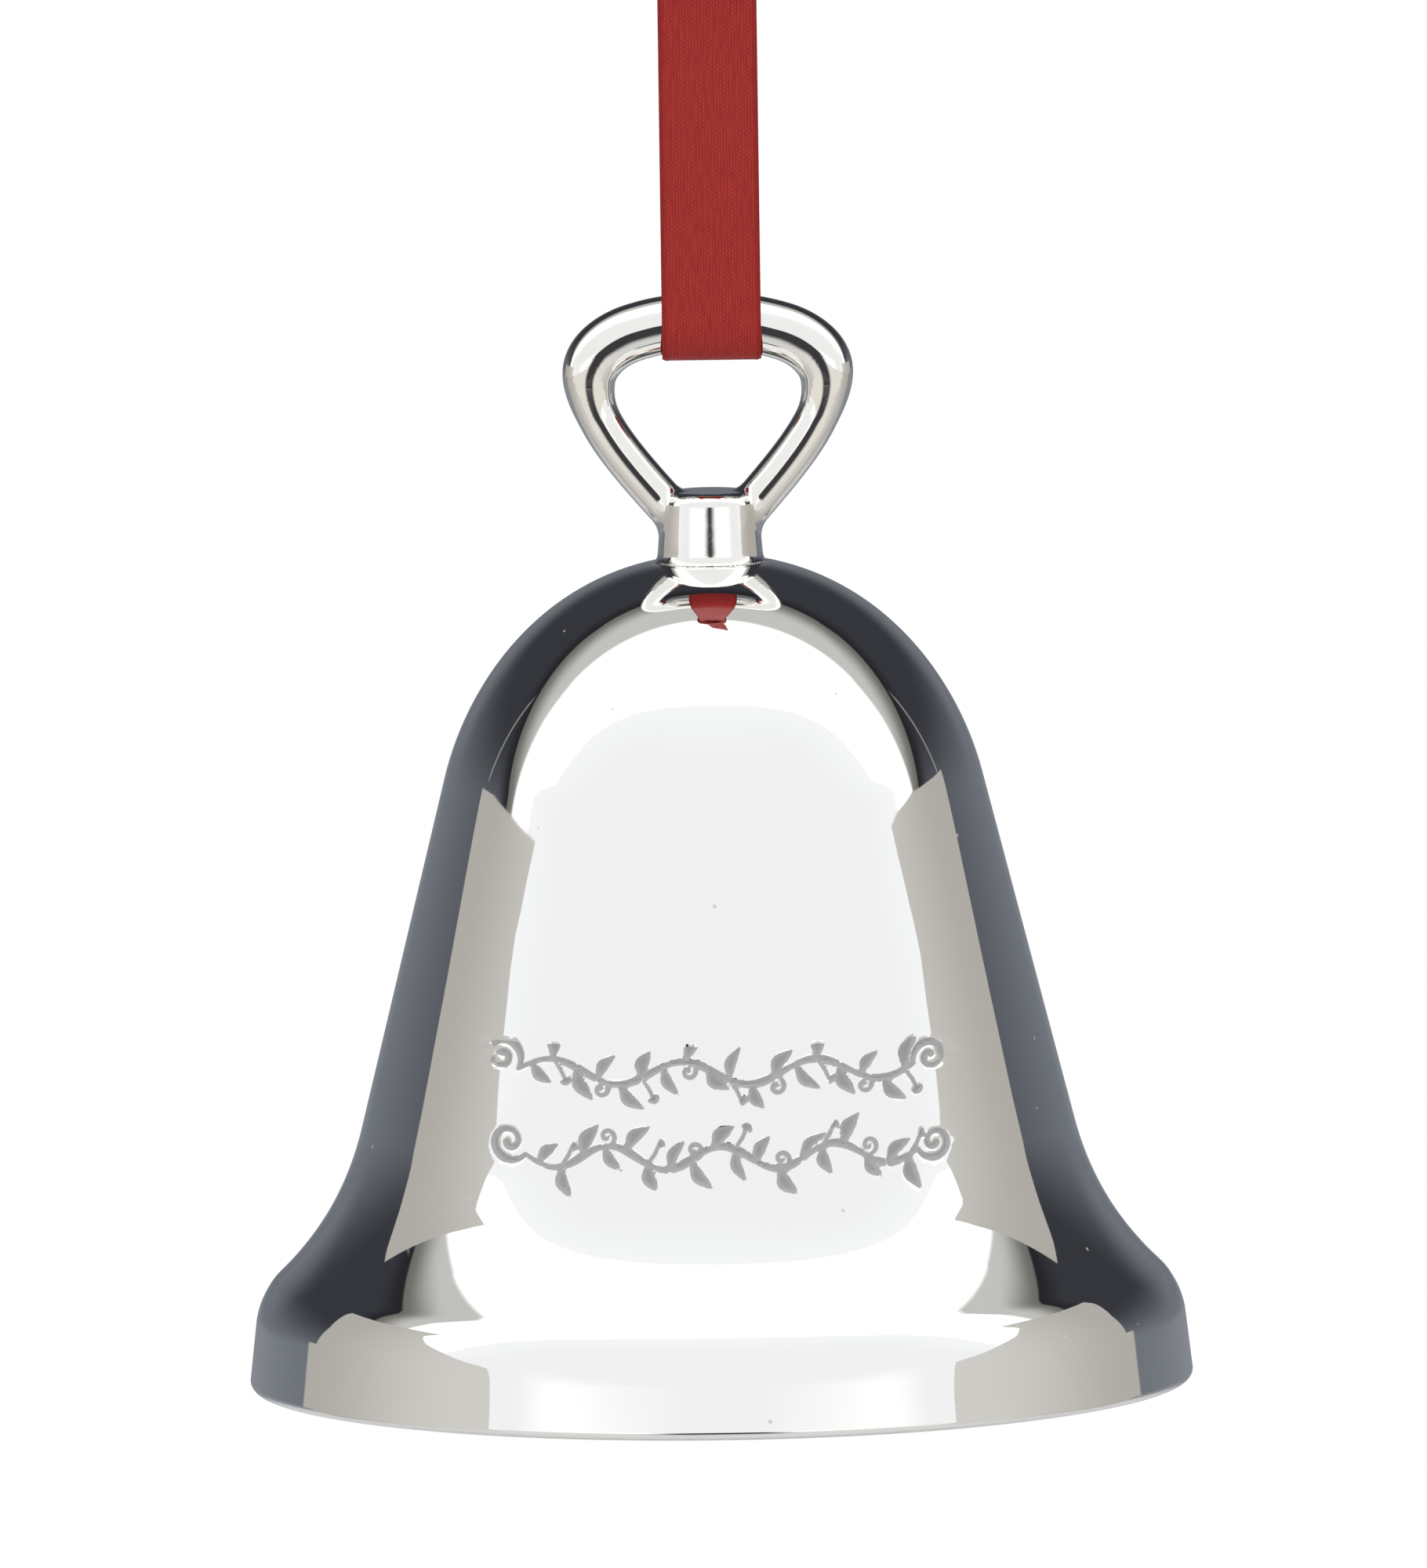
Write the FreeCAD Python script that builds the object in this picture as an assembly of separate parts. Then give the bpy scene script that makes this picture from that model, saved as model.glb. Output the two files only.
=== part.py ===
"""A Christmas bell ornament: a silver-plated bell shell under a cast loop handle, an eye bolt, washer
and nut that hold the two together, a ball clapper on a wire link, and a loop of ribbon tied in a knot.

Millimetres, +Z up. The front of the bell faces -Y. The origin is the hanging point: the middle of the
knot's underside, where a hook passes between the two runs of ribbon. Each sub-part is drawn over the
plane of the bell's mouth, at height 0, and hung below the origin when it is saved."""

import FreeCAD
import Part

import math
import os

from FreeCAD import Vector

AXIS = Vector(0, 0, 1)
MIDDLE = Vector(0, 0, 0)
SAME_POINT = 1e-6  # points closer than this are one point

# --- Bell shell: radii and heights over the mouth ---------------------------------------------------
rim_radius = 31.0  # outside of the rim band at its foot
rim_edge_round = 0.5  # round on the band's lower corner
band_height = 4.4  # of the upright band round the rim
band_draft = 0.45  # how much the band narrows towards its top
shoulder_inset = 1.44  # the rounded shoulder above the band: inwards
shoulder_rise = 2.92  # and upwards
shoulder_slope = 46.4  # degrees from upright, where shoulder meets flare
waist_radius = 23.45  # where the flare ends and the straight side begins
waist_height = 17.05
dome_radius = 17.67  # where the straight side ends and the dome begins
dome_height = 40.14
crown_slope = 77.9  # degrees from upright, where the dome meets the flat seat
shell_height = 54.25  # to the flat seat of the handle
wall = 1.2
lip_width = 2.4  # the flat face that the bell rests on
lip_height = 3.0  # upright part of the lip's inner face
bolt_play = 0.1  # radial clearance of the eye bolt in the crown and the washer

# --- Handle: one casting, a neck with a loop on top --------------------------------------------------
neck_radius = 3.2  # under the legs, the neck's narrowest place
neck_taper = 0.25  # how much wider the neck is above its foot
neck_foot = 3.75  # radius of the neck's flared foot
neck_foot_round = 0.6
neck_height = 4.65
neck_top_round = 0.9
seat_margin = 0.15  # how far the crown's flat seat shows round the neck's foot
loop_half_width = 7.79  # to the middle of the loop's rod, at its widest
loop_widest = 7.45  # height of the widest place over the neck's top
loop_height = 11.12  # height of the middle of the bar over the neck's top
bar_half = 4.75  # from the axis to where the bar turns into a corner
bar_arch = 0.6  # the bar is arched, and lies this much lower there
bar_slope = 16.2  # degrees that the bar falls there
bar_radius = 1.9  # the rod is thick along the bar and round the corners
leg_radius = 1.38  # and thin down the legs
swell_below = 2.96  # it starts to thicken this far below the loop's widest place
swell_above = 1.87  # and is as thick as the bar this far above it
leg_slope = 41.5  # degrees that a leg leans outwards where it leaves the neck
leg_spread = 2.4  # from the axis to a leg's middle, at this depth under the neck's top
leg_depth = 1.4
leg_root = 1.6  # how much further the leg runs straight on inside the neck
leg_fillet = 0.4  # where the legs run into the neck
loop_rings = 19  # rings along half of the loop that its surface is drawn through

# --- Fasteners under the crown -----------------------------------------------------------------------
bolt_radius = 1.5
bolt_grip = 3.6  # length of the bolt's thread in the neck
washer_radius = 4.0
washer_thickness = 0.8
washer_round = 0.24  # on its outer rims
washer_play = 0.3  # the washer lies this far inside the crown's flat inner face
nut_across_flats = 5.5
nut_height = 1.8
nut_chamfer = 0.35
nut_clear = 0.05  # the chamfering cut runs this far outside the nut's corners
bolt_below_nut = 0.5
eye_hole_radius = 1.3  # the eye that the link hangs in
eye_wire = 0.8  # radius of the eye's own section

# --- Clapper -----------------------------------------------------------------------------------------
link_wire = 0.55  # radius of the link's wire
link_bow = 1.6  # radius of the link's round ends, to the wire's middle
link_straight = 2.0  # straight side between its round ends
ring_gap = 0.1  # between two linked rings where one hangs in the other
clapper_eye = 1.75  # radius of the clapper's eye, to the wire's middle
clapper_eye_wire = 0.55
rod_radius = 0.7
ball_radius = 4.5
ball_height = 8.0  # middle of the ball over the mouth
rivet_radius = 1.3
rivet_height = 0.8
ball_flat = 1.9  # radius of the flats where rod and rivet meet the ball

# --- Ribbon ------------------------------------------------------------------------------------------
ribbon_width = 6.5
ribbon_thickness = 0.25
ribbon_play = 0.07  # between the ribbon's edges and the bar's underside
bar_drop = 24.5  # from the hanging point down to the bar
knot_margin = 1.1  # the knot is this much wider than the ribbon
knot_depth = 5.0
knot_height = 5.4
knot_round = 1.6
knot_entry = 1.1  # half the distance between the two runs where they enter the knot
tail_length = 13.0
tail_splay = 13.0  # degrees that each tail leans sideways
tail_lean = 8.0  # degrees that each tail leans to the front or back
tail_entry = 0.8  # half the distance between the tails where they leave the knot
tail_cut = 2.2  # how much longer one edge of a tail is than the other

# --- Worked out from the sizes above -----------------------------------------------------------------
neck_top = shell_height + neck_height
bar_height = neck_top + loop_height
hang_height = bar_height + bar_drop
crown_inside = shell_height - wall
crown_seat_radius = neck_foot + seat_margin  # the flat that the handle's foot stands on
crown_inside_radius = washer_radius + washer_play
knot_width = ribbon_width + knot_margin
nut_top = crown_inside - washer_thickness
nut_bottom = nut_top - nut_height
eye_ring = eye_hole_radius + eye_wire
eye_height = nut_bottom - bolt_below_nut - eye_hole_radius - eye_wire
bar_fall = bar_arch * (ribbon_width / 2 / bar_half) ** 2  # of the arched bar at the ribbon's edges
bight = bar_radius + bar_fall + ribbon_play + ribbon_thickness / 2  # the ribbon's turn, to its middle
link_pivot = eye_height - eye_ring + eye_wire + ring_gap + link_wire
link_lower_bow = link_pivot - 2 * link_bow - link_straight + link_bow
clapper_eye_height = (
    link_lower_bow - link_bow + link_wire + ring_gap + clapper_eye_wire - clapper_eye
)
side_slope = math.degrees(math.atan2(waist_radius - dome_radius, dome_height - waist_height))


def point(radius, height):
    """A point of a profile that is turned about the bell's axis."""
    return Vector(radius, 0, height)


def curve(start, start_slope, start_fullness, end, end_slope, end_fullness):
    """A smooth edge between two profile points. Slopes are degrees inwards from upright at each end,
    and fullness is how far the curve keeps to that slope, as a share of the distance."""
    reach = start.distanceToPoint(end)
    a, b = math.radians(start_slope), math.radians(end_slope)
    leave = start + Vector(-math.sin(a), 0, math.cos(a)) * (start_fullness * reach)
    arrive = end - Vector(-math.sin(b), 0, math.cos(b)) * (end_fullness * reach)
    bezier = Part.BezierCurve()
    bezier.setPoles([start, leave, arrive, end])
    return bezier.toShape()


def inside(outer, slope, thickness):
    """The point behind an outer profile point, through a wall of that thickness."""
    a = math.radians(slope)
    return outer - Vector(math.cos(a), 0, math.sin(a)) * thickness


def chain(*items):
    """Edges and points in a row, closed into one profile and turned about the axis as a solid."""
    edges, last, first = [], None, None
    for item in items:
        begin = item if isinstance(item, Vector) else item.firstVertex(True).Point
        finish = item if isinstance(item, Vector) else item.lastVertex(True).Point
        if last is not None and last.distanceToPoint(begin) > SAME_POINT:
            edges.append(Part.LineSegment(last, begin).toShape())
        if not isinstance(item, Vector):
            edges.append(item)
        first = first or begin
        last = finish
    edges.append(Part.LineSegment(last, first).toShape())
    return Part.Face(Part.Wire(edges)).revolve(MIDDLE, AXIS, 360)


def quarter(start, corner, end):
    """A round corner between two profile points, as a quarter of a circle."""
    centre = start + end - corner
    radius = start.distanceToPoint(centre)
    toward = corner - centre
    middle = centre + toward * (radius / toward.Length)
    return Part.Arc(start, middle, end).toShape()


def bell_shell():
    """The turned shell: band, shoulder, flare, straight side and dome, over an offset inner wall."""
    band_foot = point(rim_radius, rim_edge_round)
    band_top = point(rim_radius - band_draft, band_height)
    flare_foot = point(band_top.x - shoulder_inset, band_top.z + shoulder_rise)
    waist = point(waist_radius, waist_height)
    dome_foot = point(dome_radius, dome_height)
    seat = point(crown_seat_radius, shell_height)
    band_slope = math.degrees(math.atan2(band_draft, band_height))
    lip_inside = rim_radius - lip_width
    waist_in = inside(waist, side_slope, wall)
    dome_in = inside(dome_foot, side_slope, wall)
    hole = bolt_radius + bolt_play
    return chain(
        quarter(
            point(rim_radius - rim_edge_round, 0), point(rim_radius, 0), band_foot
        ),
        curve(band_top, band_slope, 0.26, flare_foot, shoulder_slope, 0.33),
        curve(flare_foot, shoulder_slope, 0.36, waist, side_slope, 0.34),
        curve(dome_foot, side_slope, 0.30, seat, crown_slope, 0.41),
        point(hole, shell_height),
        point(hole, crown_inside),
        curve(
            point(crown_inside_radius, crown_inside),
            crown_slope - 180,
            0.41,
            dome_in,
            side_slope - 180,
            0.30,
        ),
        curve(waist_in, side_slope - 180, 0.38, point(lip_inside, lip_height), -180, 0.30),
        point(lip_inside, 0),
    )


def neck():
    """The turned neck, with a flared foot on the crown, a slight taper and a rounded top."""
    foot = point(neck_foot, shell_height)
    over_foot = point(neck_radius + neck_taper, shell_height + neck_foot_round)
    taper = math.degrees(math.atan2(neck_taper, neck_height - neck_foot_round - neck_top_round))
    return chain(
        point(0, shell_height),
        curve(foot, 60, 0.35, over_foot, taper, 0.45),
        quarter(
            point(neck_radius, neck_top - neck_top_round),
            point(neck_radius, neck_top),
            point(neck_radius - neck_top_round, neck_top),
        ),
        point(0, neck_top),
    )


def loop_half():
    """The middle of the right half of the loop's rod, from inside the neck to the top of the bar."""
    leg_end = point(leg_spread, neck_top - leg_depth)
    outwards = math.radians(leg_slope)
    root = leg_end - Vector(math.sin(outwards), 0, math.cos(outwards)) * leg_root
    side = point(loop_half_width, neck_top + loop_widest)
    bar_end = point(bar_half, bar_height - bar_arch)
    return [
        Part.LineSegment(root, leg_end).toShape(),
        curve(leg_end, -leg_slope, 0.50, side, 0, 0.25),
        curve(side, 0, 0.36, bar_end, 90 - bar_slope, 0.36),
        curve(bar_end, 90 - bar_slope, 0.30, point(0, bar_height), 90, 0.50),
    ]


def rod_radius_at(height):
    """The rod's radius at a height: the leg's up to the loop's side, swelling to the bar's above it."""
    over_start = height - (neck_top + loop_widest - swell_below)
    share = min(1.0, max(0.0, over_start / (swell_below + swell_above)))
    return leg_radius + (bar_radius - leg_radius) * share * share * (3 - 2 * share)


def loop():
    """The loop as a round rod of changing thickness, through evenly spaced rings along its middle."""
    right = Part.Wire(loop_half()).discretize(Number=loop_rings)
    left = [Vector(-p.x, 0, p.z) for p in reversed(right[:-1])]
    places = right + left
    rings = []
    for before, place, after in zip(places[:1] + places, places, places[1:] + places[-1:]):
        ring = Part.Circle(place, after - before, rod_radius_at(place.z))
        rings.append(Part.Wire([ring.toShape()]))
    return Part.makeLoft(rings, True, False)


def handle():
    """The neck and the loop as one casting, filleted where the legs run into the neck."""
    casting = neck().fuse(loop()).removeSplitter()
    creases = []
    for edge in casting.Edges:
        box = edge.BoundBox
        if 0.3 * leg_radius < box.YLength < 1.5 * leg_radius and box.XLength < leg_radius:
            creases.append(edge)
    casting = casting.makeFillet(leg_fillet, creases)
    tap_hole = Part.makeCylinder(bolt_radius, bolt_grip, Vector(0, 0, shell_height), AXIS)
    return casting.cut(tap_hole)


def crown_washer():
    """The flat washer under the crown."""
    bottom = crown_inside - washer_thickness
    washer = Part.makeCylinder(washer_radius, washer_thickness, Vector(0, 0, bottom), AXIS)
    hole = Part.makeCylinder(
        bolt_radius + bolt_play, washer_thickness, Vector(0, 0, bottom), AXIS
    )
    washer = washer.cut(hole)
    rims = [e for e in washer.Edges if e.BoundBox.XLength > 2 * (bolt_radius + bolt_play) + washer_round]
    return washer.makeFillet(washer_round, rims)


def lock_nut():
    """The hexagon nut that draws the washer, the crown and the neck together."""
    corner = nut_across_flats / math.sqrt(3)
    corners = [
        Vector(
            corner * math.cos(math.radians(60 * i)),
            corner * math.sin(math.radians(60 * i)),
            nut_bottom,
        )
        for i in range(7)
    ]
    prism = Part.Face(Part.makePolygon(corners)).extrude(AXIS * nut_height)
    lower = nut_bottom + nut_chamfer
    upper = nut_top - nut_chamfer
    waist = corner + nut_clear
    tip = nut_across_flats / 2
    turned = chain(
        point(bolt_radius, nut_bottom),
        point(tip, nut_bottom),
        point(waist, lower),
        point(waist, upper),
        point(tip, nut_top),
        point(bolt_radius, nut_top),
    )
    return prism.common(turned)


def eye_bolt():
    """A threaded shank that screws up into the neck, with an eye for the clapper's link below."""
    top = shell_height + bolt_grip
    collar = eye_height + eye_ring
    shank = Part.makeCylinder(bolt_radius, top - collar, Vector(0, 0, collar), AXIS)
    root = Part.makeCone(
        eye_wire, bolt_radius, eye_wire, Vector(0, 0, collar - eye_wire * 0.5), AXIS
    )
    hole = Part.makeCylinder(
        eye_hole_radius, 4 * eye_wire, Vector(-2 * eye_wire, 0, eye_height), Vector(1, 0, 0)
    )
    eye = Part.makeTorus(eye_ring, eye_wire, Vector(0, 0, eye_height), Vector(1, 0, 0))
    return shank.fuse([root.cut(hole), eye]).removeSplitter()


def clapper_link():
    """A closed wire link with round ends, hanging edge-on in the bolt's eye."""
    upper = link_pivot - link_bow
    lower = link_lower_bow
    right, left = Vector(link_bow, 0, 0), Vector(-link_bow, 0, 0)
    up, down = Vector(0, 0, upper), Vector(0, 0, lower)
    path = Part.Wire(
        [
            Part.LineSegment(down + right, up + right).toShape(),
            Part.Arc(up + right, up + AXIS * link_bow, up + left).toShape(),
            Part.LineSegment(up + left, down + left).toShape(),
            Part.Arc(down + left, down - AXIS * link_bow, down + right).toShape(),
        ]
    )
    section = Part.Wire([Part.Circle(down + right, AXIS, link_wire).toShape()])
    return path.makePipeShell([section], True, False)


def clapper_rod():
    """The clapper's wire: an eye on top, a straight rod, and a riveted end under the ball."""
    eye = Part.makeTorus(
        clapper_eye, clapper_eye_wire, Vector(0, 0, clapper_eye_height), Vector(1, 0, 0)
    )
    top = clapper_eye_height - clapper_eye
    bottom = ball_height - flat_distance()
    rod = Part.makeCylinder(rod_radius, top - bottom, Vector(0, 0, bottom), AXIS)
    rivet = chain(
        point(0, bottom),
        point(rivet_radius, bottom),
        curve(point(rivet_radius, bottom), 180, 0.5, point(0, bottom - rivet_height), 90, 0.5),
    )
    return rod.fuse([eye, rivet]).removeSplitter()


def flat_distance():
    """From the ball's middle to the flats at its top and bottom."""
    return math.sqrt(ball_radius**2 - ball_flat**2)


def clapper_ball():
    """The ball, drilled for the rod, with a small flat above and below."""
    half = flat_distance()
    ball = Part.makeSphere(ball_radius, Vector(0, 0, ball_height))
    slab = Part.makeCylinder(
        ball_radius + 1, 2 * half, Vector(0, 0, ball_height - half), AXIS
    )
    bore = Part.makeCylinder(
        rod_radius, 2 * half, Vector(0, 0, ball_height - half), AXIS
    )
    return ball.common(slab).cut(bore)


def ribbon_route(aside=0.0):
    """The points of the ribbon's route: down the front, under the bar and up the back, or those of a
    line beside it. Both runs are straight, as the bell pulls them, and touch the round of the bight."""
    reach = math.hypot(knot_entry, bar_drop)
    lean = math.asin(bight / reach) - math.atan2(knot_entry, bar_drop)
    entry = knot_entry + aside / math.cos(lean)
    corner = (bight + aside) * math.tan((math.pi / 2 + lean) / 2)
    lowest = bar_height - bight - aside
    return [
        Vector(0, -entry, hang_height),
        Vector(0, -corner, lowest),
        Vector(0, corner, lowest),
        Vector(0, entry, hang_height),
    ]


def rounded_path(points, radius):
    """Straight runs between the points, joined by tangent arcs of one radius, as a list of edges."""
    edges, last = [], points[0]
    for before, corner, after in zip(points, points[1:], points[2:]):
        back = (before - corner).normalize()
        ahead = (after - corner).normalize()
        half_angle = back.getAngle(ahead) / 2
        trim = radius / math.tan(half_angle)
        inward = (back + ahead).normalize()
        middle = corner + inward * (radius / math.sin(half_angle) - radius)
        start, end = corner + back * trim, corner + ahead * trim
        if last.distanceToPoint(start) > SAME_POINT:
            edges.append(Part.LineSegment(last, start).toShape())
        edges.append(Part.Arc(start, middle, end).toShape())
        last = end
    edges.append(Part.LineSegment(last, points[-1]).toShape())
    return edges


def filled_loop(aside):
    """The whole space inside a line beside the ribbon's route, as wide as the ribbon."""
    route = ribbon_route(aside)
    edges = rounded_path(route, bight + aside)
    edges.append(Part.LineSegment(route[-1], route[0]).toShape())
    face = Part.Face(Part.Wire(edges))
    face.translate(Vector(-ribbon_width / 2, 0, 0))
    return face.extrude(Vector(ribbon_width, 0, 0))


def ribbon_loop():
    """Both runs of the ribbon and the bight under the bar, as one strip of even thickness."""
    strip = filled_loop(ribbon_thickness / 2).cut(filled_loop(-ribbon_thickness / 2))
    length = sum(edge.Length for edge in rounded_path(ribbon_route(), bight))
    share = strip.Volume / (length * ribbon_width * ribbon_thickness)
    print(f"ribbon: bight radius {bight:.3f}, length {length:.2f}, volume over section {share:.4f}")
    return strip


def ribbon_knot():
    """The knot, as a plain block with rounded edges. The flat underside is the hanging point."""
    block = Part.makeBox(
        knot_width,
        knot_depth,
        knot_height,
        Vector(-knot_width / 2, -knot_depth / 2, hang_height),
    )
    upper = [e for e in block.Edges if e.BoundBox.ZMin > hang_height + knot_height / 2]
    return block.makeFillet(knot_round, upper)


def ribbon_tail(side):
    """One free end above the knot, leaning to its own side, with a slanting cut. side is 1 or -1."""
    thin = ribbon_thickness / 2
    half = ribbon_width / 2
    outline = [
        Vector(-half, -thin, 0),
        Vector(half, -thin, 0),
        Vector(half, -thin, tail_length - (tail_cut if side > 0 else 0)),
        Vector(-half, -thin, tail_length - (0 if side > 0 else tail_cut)),
    ]
    outline.append(outline[0])
    strip = Part.Face(Part.makePolygon(outline)).extrude(Vector(0, ribbon_thickness, 0))
    strip.rotate(MIDDLE, Vector(0, 1, 0), side * tail_splay)
    strip.rotate(MIDDLE, Vector(1, 0, 0), side * tail_lean)
    sunk = knot_round + half * math.tan(math.radians(tail_splay))
    strip.translate(Vector(0, -side * tail_entry, hang_height + knot_height - sunk))
    return strip.cut(ribbon_knot())


def ribbon_tails():
    """Both free ends, the right-leaning one in front."""
    tails = [ribbon_tail(1), ribbon_tail(-1)]
    return Part.makeCompound(tails)


SUBPARTS = [
    bell_shell,
    handle,
    crown_washer,
    lock_nut,
    eye_bolt,
    clapper_link,
    clapper_rod,
    clapper_ball,
    ribbon_loop,
    ribbon_knot,
    ribbon_tails,
]


def main():
    os.makedirs("parts", exist_ok=True)
    for make in SUBPARTS:
        shape = make()
        shape.translate(Vector(0, 0, -hang_height))
        shape.exportStep(f"parts/{make.__name__}.step")
        box = shape.BoundBox
        print(
            f"{make.__name__:14s} valid {shape.isValid()} solids {len(shape.Solids)}"
            f" volume {shape.Volume:9.3f} mm3, z {box.ZMin:7.2f} to {box.ZMax:7.2f}"
        )
    print("link pivot z", round(link_pivot - hang_height, 4))
    print("lower bow z", round(link_lower_bow - hang_height, 4))
    print("bar pivot z", round(bar_height - hang_height, 4))


main()
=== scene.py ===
# %% [markdown]
# # A silver bell ornament on a red ribbon
# The real object is a small spun bell in bright silver plate, about 62 mm across the mouth.
# A cast loop is bolted to its crown, a brass clapper hangs inside, and a red woven ribbon
# carries everything. The hard parts come from a CAD model whose sizes are fixed, so this
# file only adds what CAD can't give: finishes, cloth, engraving, light and a camera.

# %% Load the frame
import math
from math import cos, pi, radians, sin, tan

import bmesh
import bpy
import numpy as np
from mathutils import Matrix, Vector


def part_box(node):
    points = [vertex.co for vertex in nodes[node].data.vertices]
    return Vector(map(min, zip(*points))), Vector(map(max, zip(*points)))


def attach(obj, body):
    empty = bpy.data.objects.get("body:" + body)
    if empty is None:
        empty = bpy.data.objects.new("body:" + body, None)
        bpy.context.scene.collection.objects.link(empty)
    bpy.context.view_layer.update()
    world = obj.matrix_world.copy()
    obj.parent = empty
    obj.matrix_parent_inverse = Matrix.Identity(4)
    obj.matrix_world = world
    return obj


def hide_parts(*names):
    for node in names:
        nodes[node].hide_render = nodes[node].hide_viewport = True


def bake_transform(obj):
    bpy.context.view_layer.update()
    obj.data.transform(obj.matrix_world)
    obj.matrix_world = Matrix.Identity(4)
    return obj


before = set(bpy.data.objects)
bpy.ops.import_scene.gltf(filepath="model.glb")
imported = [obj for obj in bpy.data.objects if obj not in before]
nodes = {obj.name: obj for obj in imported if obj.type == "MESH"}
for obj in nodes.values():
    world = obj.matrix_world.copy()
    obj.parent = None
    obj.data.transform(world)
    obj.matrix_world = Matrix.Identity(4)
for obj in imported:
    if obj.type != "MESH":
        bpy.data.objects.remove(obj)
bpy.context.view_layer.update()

MM = 0.001

# %% [markdown]
# ## Camera
# Bright metal shows whatever surrounds it, so where the camera stands decides which part of
# the studio every patch of the bell reflects. It stands far back with a long lens, a little
# above the bell, and looks down by a few degrees. A slight roll lets the bell hang a touch
# askew, as a bell on a ribbon does. A near camera would show more of the crown and less of
# the mouth, and a level one would hide the crown.

# %% Camera
LOOK_AT = Vector((0, 0, -55.0 * MM))
CAMERA_DISTANCE = 2.5
CAMERA_RISE = radians(6.4)
CAMERA_ROLL = radians(-0.8)
FRAME_HEIGHT = 103.0 * MM


def put(name, data):
    """A new object at the scene's origin."""
    made = bpy.data.objects.new(name, data)
    bpy.context.scene.collection.objects.link(made)
    return made


lens = bpy.data.cameras.new("long_lens")
lens.sensor_width = 36
lens.lens = 36 * CAMERA_DISTANCE / FRAME_HEIGHT
lens.clip_start, lens.clip_end = 0.05, 30
camera = put("camera", lens)
away = Vector((0, -cos(CAMERA_RISE), sin(CAMERA_RISE)))
turn = away.to_track_quat("Z", "Y").to_matrix().to_4x4()
camera.matrix_world = (
    Matrix.Translation(LOOK_AT + away * CAMERA_DISTANCE) @ turn
    @ Matrix.Rotation(CAMERA_ROLL, 4, "Z")
)
bpy.context.scene.camera = camera
bpy.context.scene.view_settings.view_transform = "Standard"
print("lens in mm:", round(lens.lens))

# %% [markdown]
# ## A small language for nodes
# Materials, the studio and the Geometry Nodes trees below all need maths. Placing each node
# by hand hides the idea, so a small class wraps a socket and turns `a * b + 1` into Math
# nodes. Every other node comes from `add`, which takes its type, its settings and its links.
# Colours never pass through Math nodes, which would turn them grey.

# %% Sockets that do maths
class Signal:
    """The output of a node. Arithmetic on it adds Math nodes to the same tree."""

    def __init__(self, bench, socket):
        self.bench, self.socket = bench, socket

    def maths(self, operation, *others, swap=False):
        terms = [self, *others]
        if swap:
            terms.reverse()
        return self.bench.add("ShaderNodeMath", {"operation": operation}, dict(enumerate(terms)))[0]

    def __add__(self, other): return self.maths("ADD", other)
    def __radd__(self, other): return self.maths("ADD", other)
    def __sub__(self, other): return self.maths("SUBTRACT", other)
    def __rsub__(self, other): return self.maths("SUBTRACT", other, swap=True)
    def __mul__(self, other): return self.maths("MULTIPLY", other)
    def __rmul__(self, other): return self.maths("MULTIPLY", other)
    def __truediv__(self, other): return self.maths("DIVIDE", other)
    def __neg__(self): return self.maths("MULTIPLY", -1.0)
    def __abs__(self): return self.maths("ABSOLUTE")
    def __lt__(self, other): return self.maths("LESS_THAN", other)
    def __gt__(self, other): return self.maths("GREATER_THAN", other)
    def least(self, other): return self.maths("MINIMUM", other)
    def most(self, other): return self.maths("MAXIMUM", other)

    def step(self, low, high, to_low=0.0, to_high=1.0):
        """A soft step that goes from to_low at low to to_high at high."""
        settings = {"interpolation_type": "SMOOTHSTEP"}
        sockets = {0: self, 1: low, 2: high, 3: to_low, 4: to_high}
        return self.bench.add("ShaderNodeMapRange", settings, sockets)[0]


class Outputs:
    """The outputs of one node, found by number or name."""

    def __init__(self, bench, node):
        self.bench, self.node = bench, node

    def __getitem__(self, key):
        return Signal(self.bench, self.node.outputs[key])


class Bench:
    """A node tree and the ways in which nodes are added to it."""

    def __init__(self, tree, bare=False):
        self.tree = tree
        for node in list(tree.nodes) if bare else ():
            tree.nodes.remove(node)

    def drive(self, node, sockets):
        """Links signals to a node's sockets, or sets plain values on them."""
        for key, value in sockets.items():
            if isinstance(value, Signal):
                self.tree.links.new(value.socket, node.inputs[key])
            else:
                node.inputs[key].default_value = value

    def add(self, kind, settings=None, sockets=None):
        node = self.tree.nodes.new(kind)
        for name, value in (settings or {}).items():
            setattr(node, name, value)
        self.drive(node, sockets or {})
        return Outputs(self, node)

    def split(self, vector):
        return self.add("ShaderNodeSeparateXYZ", None, {0: vector})

    def object_place(self):
        return self.add("ShaderNodeTexCoord")["Object"]

    def noise(self, place, scale, detail):
        return self.add("ShaderNodeTexNoise", None, {"Vector": place, "Scale": scale, "Detail": detail})[0]

    def stretch(self, place, scale):
        return self.add("ShaderNodeMapping", None, {"Vector": place, "Scale": scale})[0]

    def bump(self, strength, distance, height):
        sockets = {"Strength": strength, "Distance": distance, "Height": height}
        return self.add("ShaderNodeBump", None, sockets)[0]

    def blend(self, share, under, over):
        """Colour `over` laid on colour `under` by share."""
        under, over = [(*c, 1) if isinstance(c, tuple) else c for c in (under, over)]
        settings = {"data_type": "RGBA", "clamp_factor": True}
        return self.add("ShaderNodeMix", settings, {0: share, 6: under, 7: over})[2]


def ink(red, green, blue):
    """Screen values from 0 to 255 as the linear colour that light works in."""
    def linear(value):
        value /= 255
        return value / 12.92 if value <= 0.04045 else ((value + 0.055) / 1.055) ** 2.4
    return tuple(linear(value) for value in (red, green, blue))


def finish(name):
    """A new material with its bench and its main shader's node."""
    made = bpy.data.materials.new(name)
    made.use_nodes = True
    shader = made.node_tree.nodes["Principled BSDF"]
    return made, Bench(made.node_tree), shader


print("a mid grey of 128 in linear light:", round(ink(128, 128, 128)[0], 3))

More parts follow.
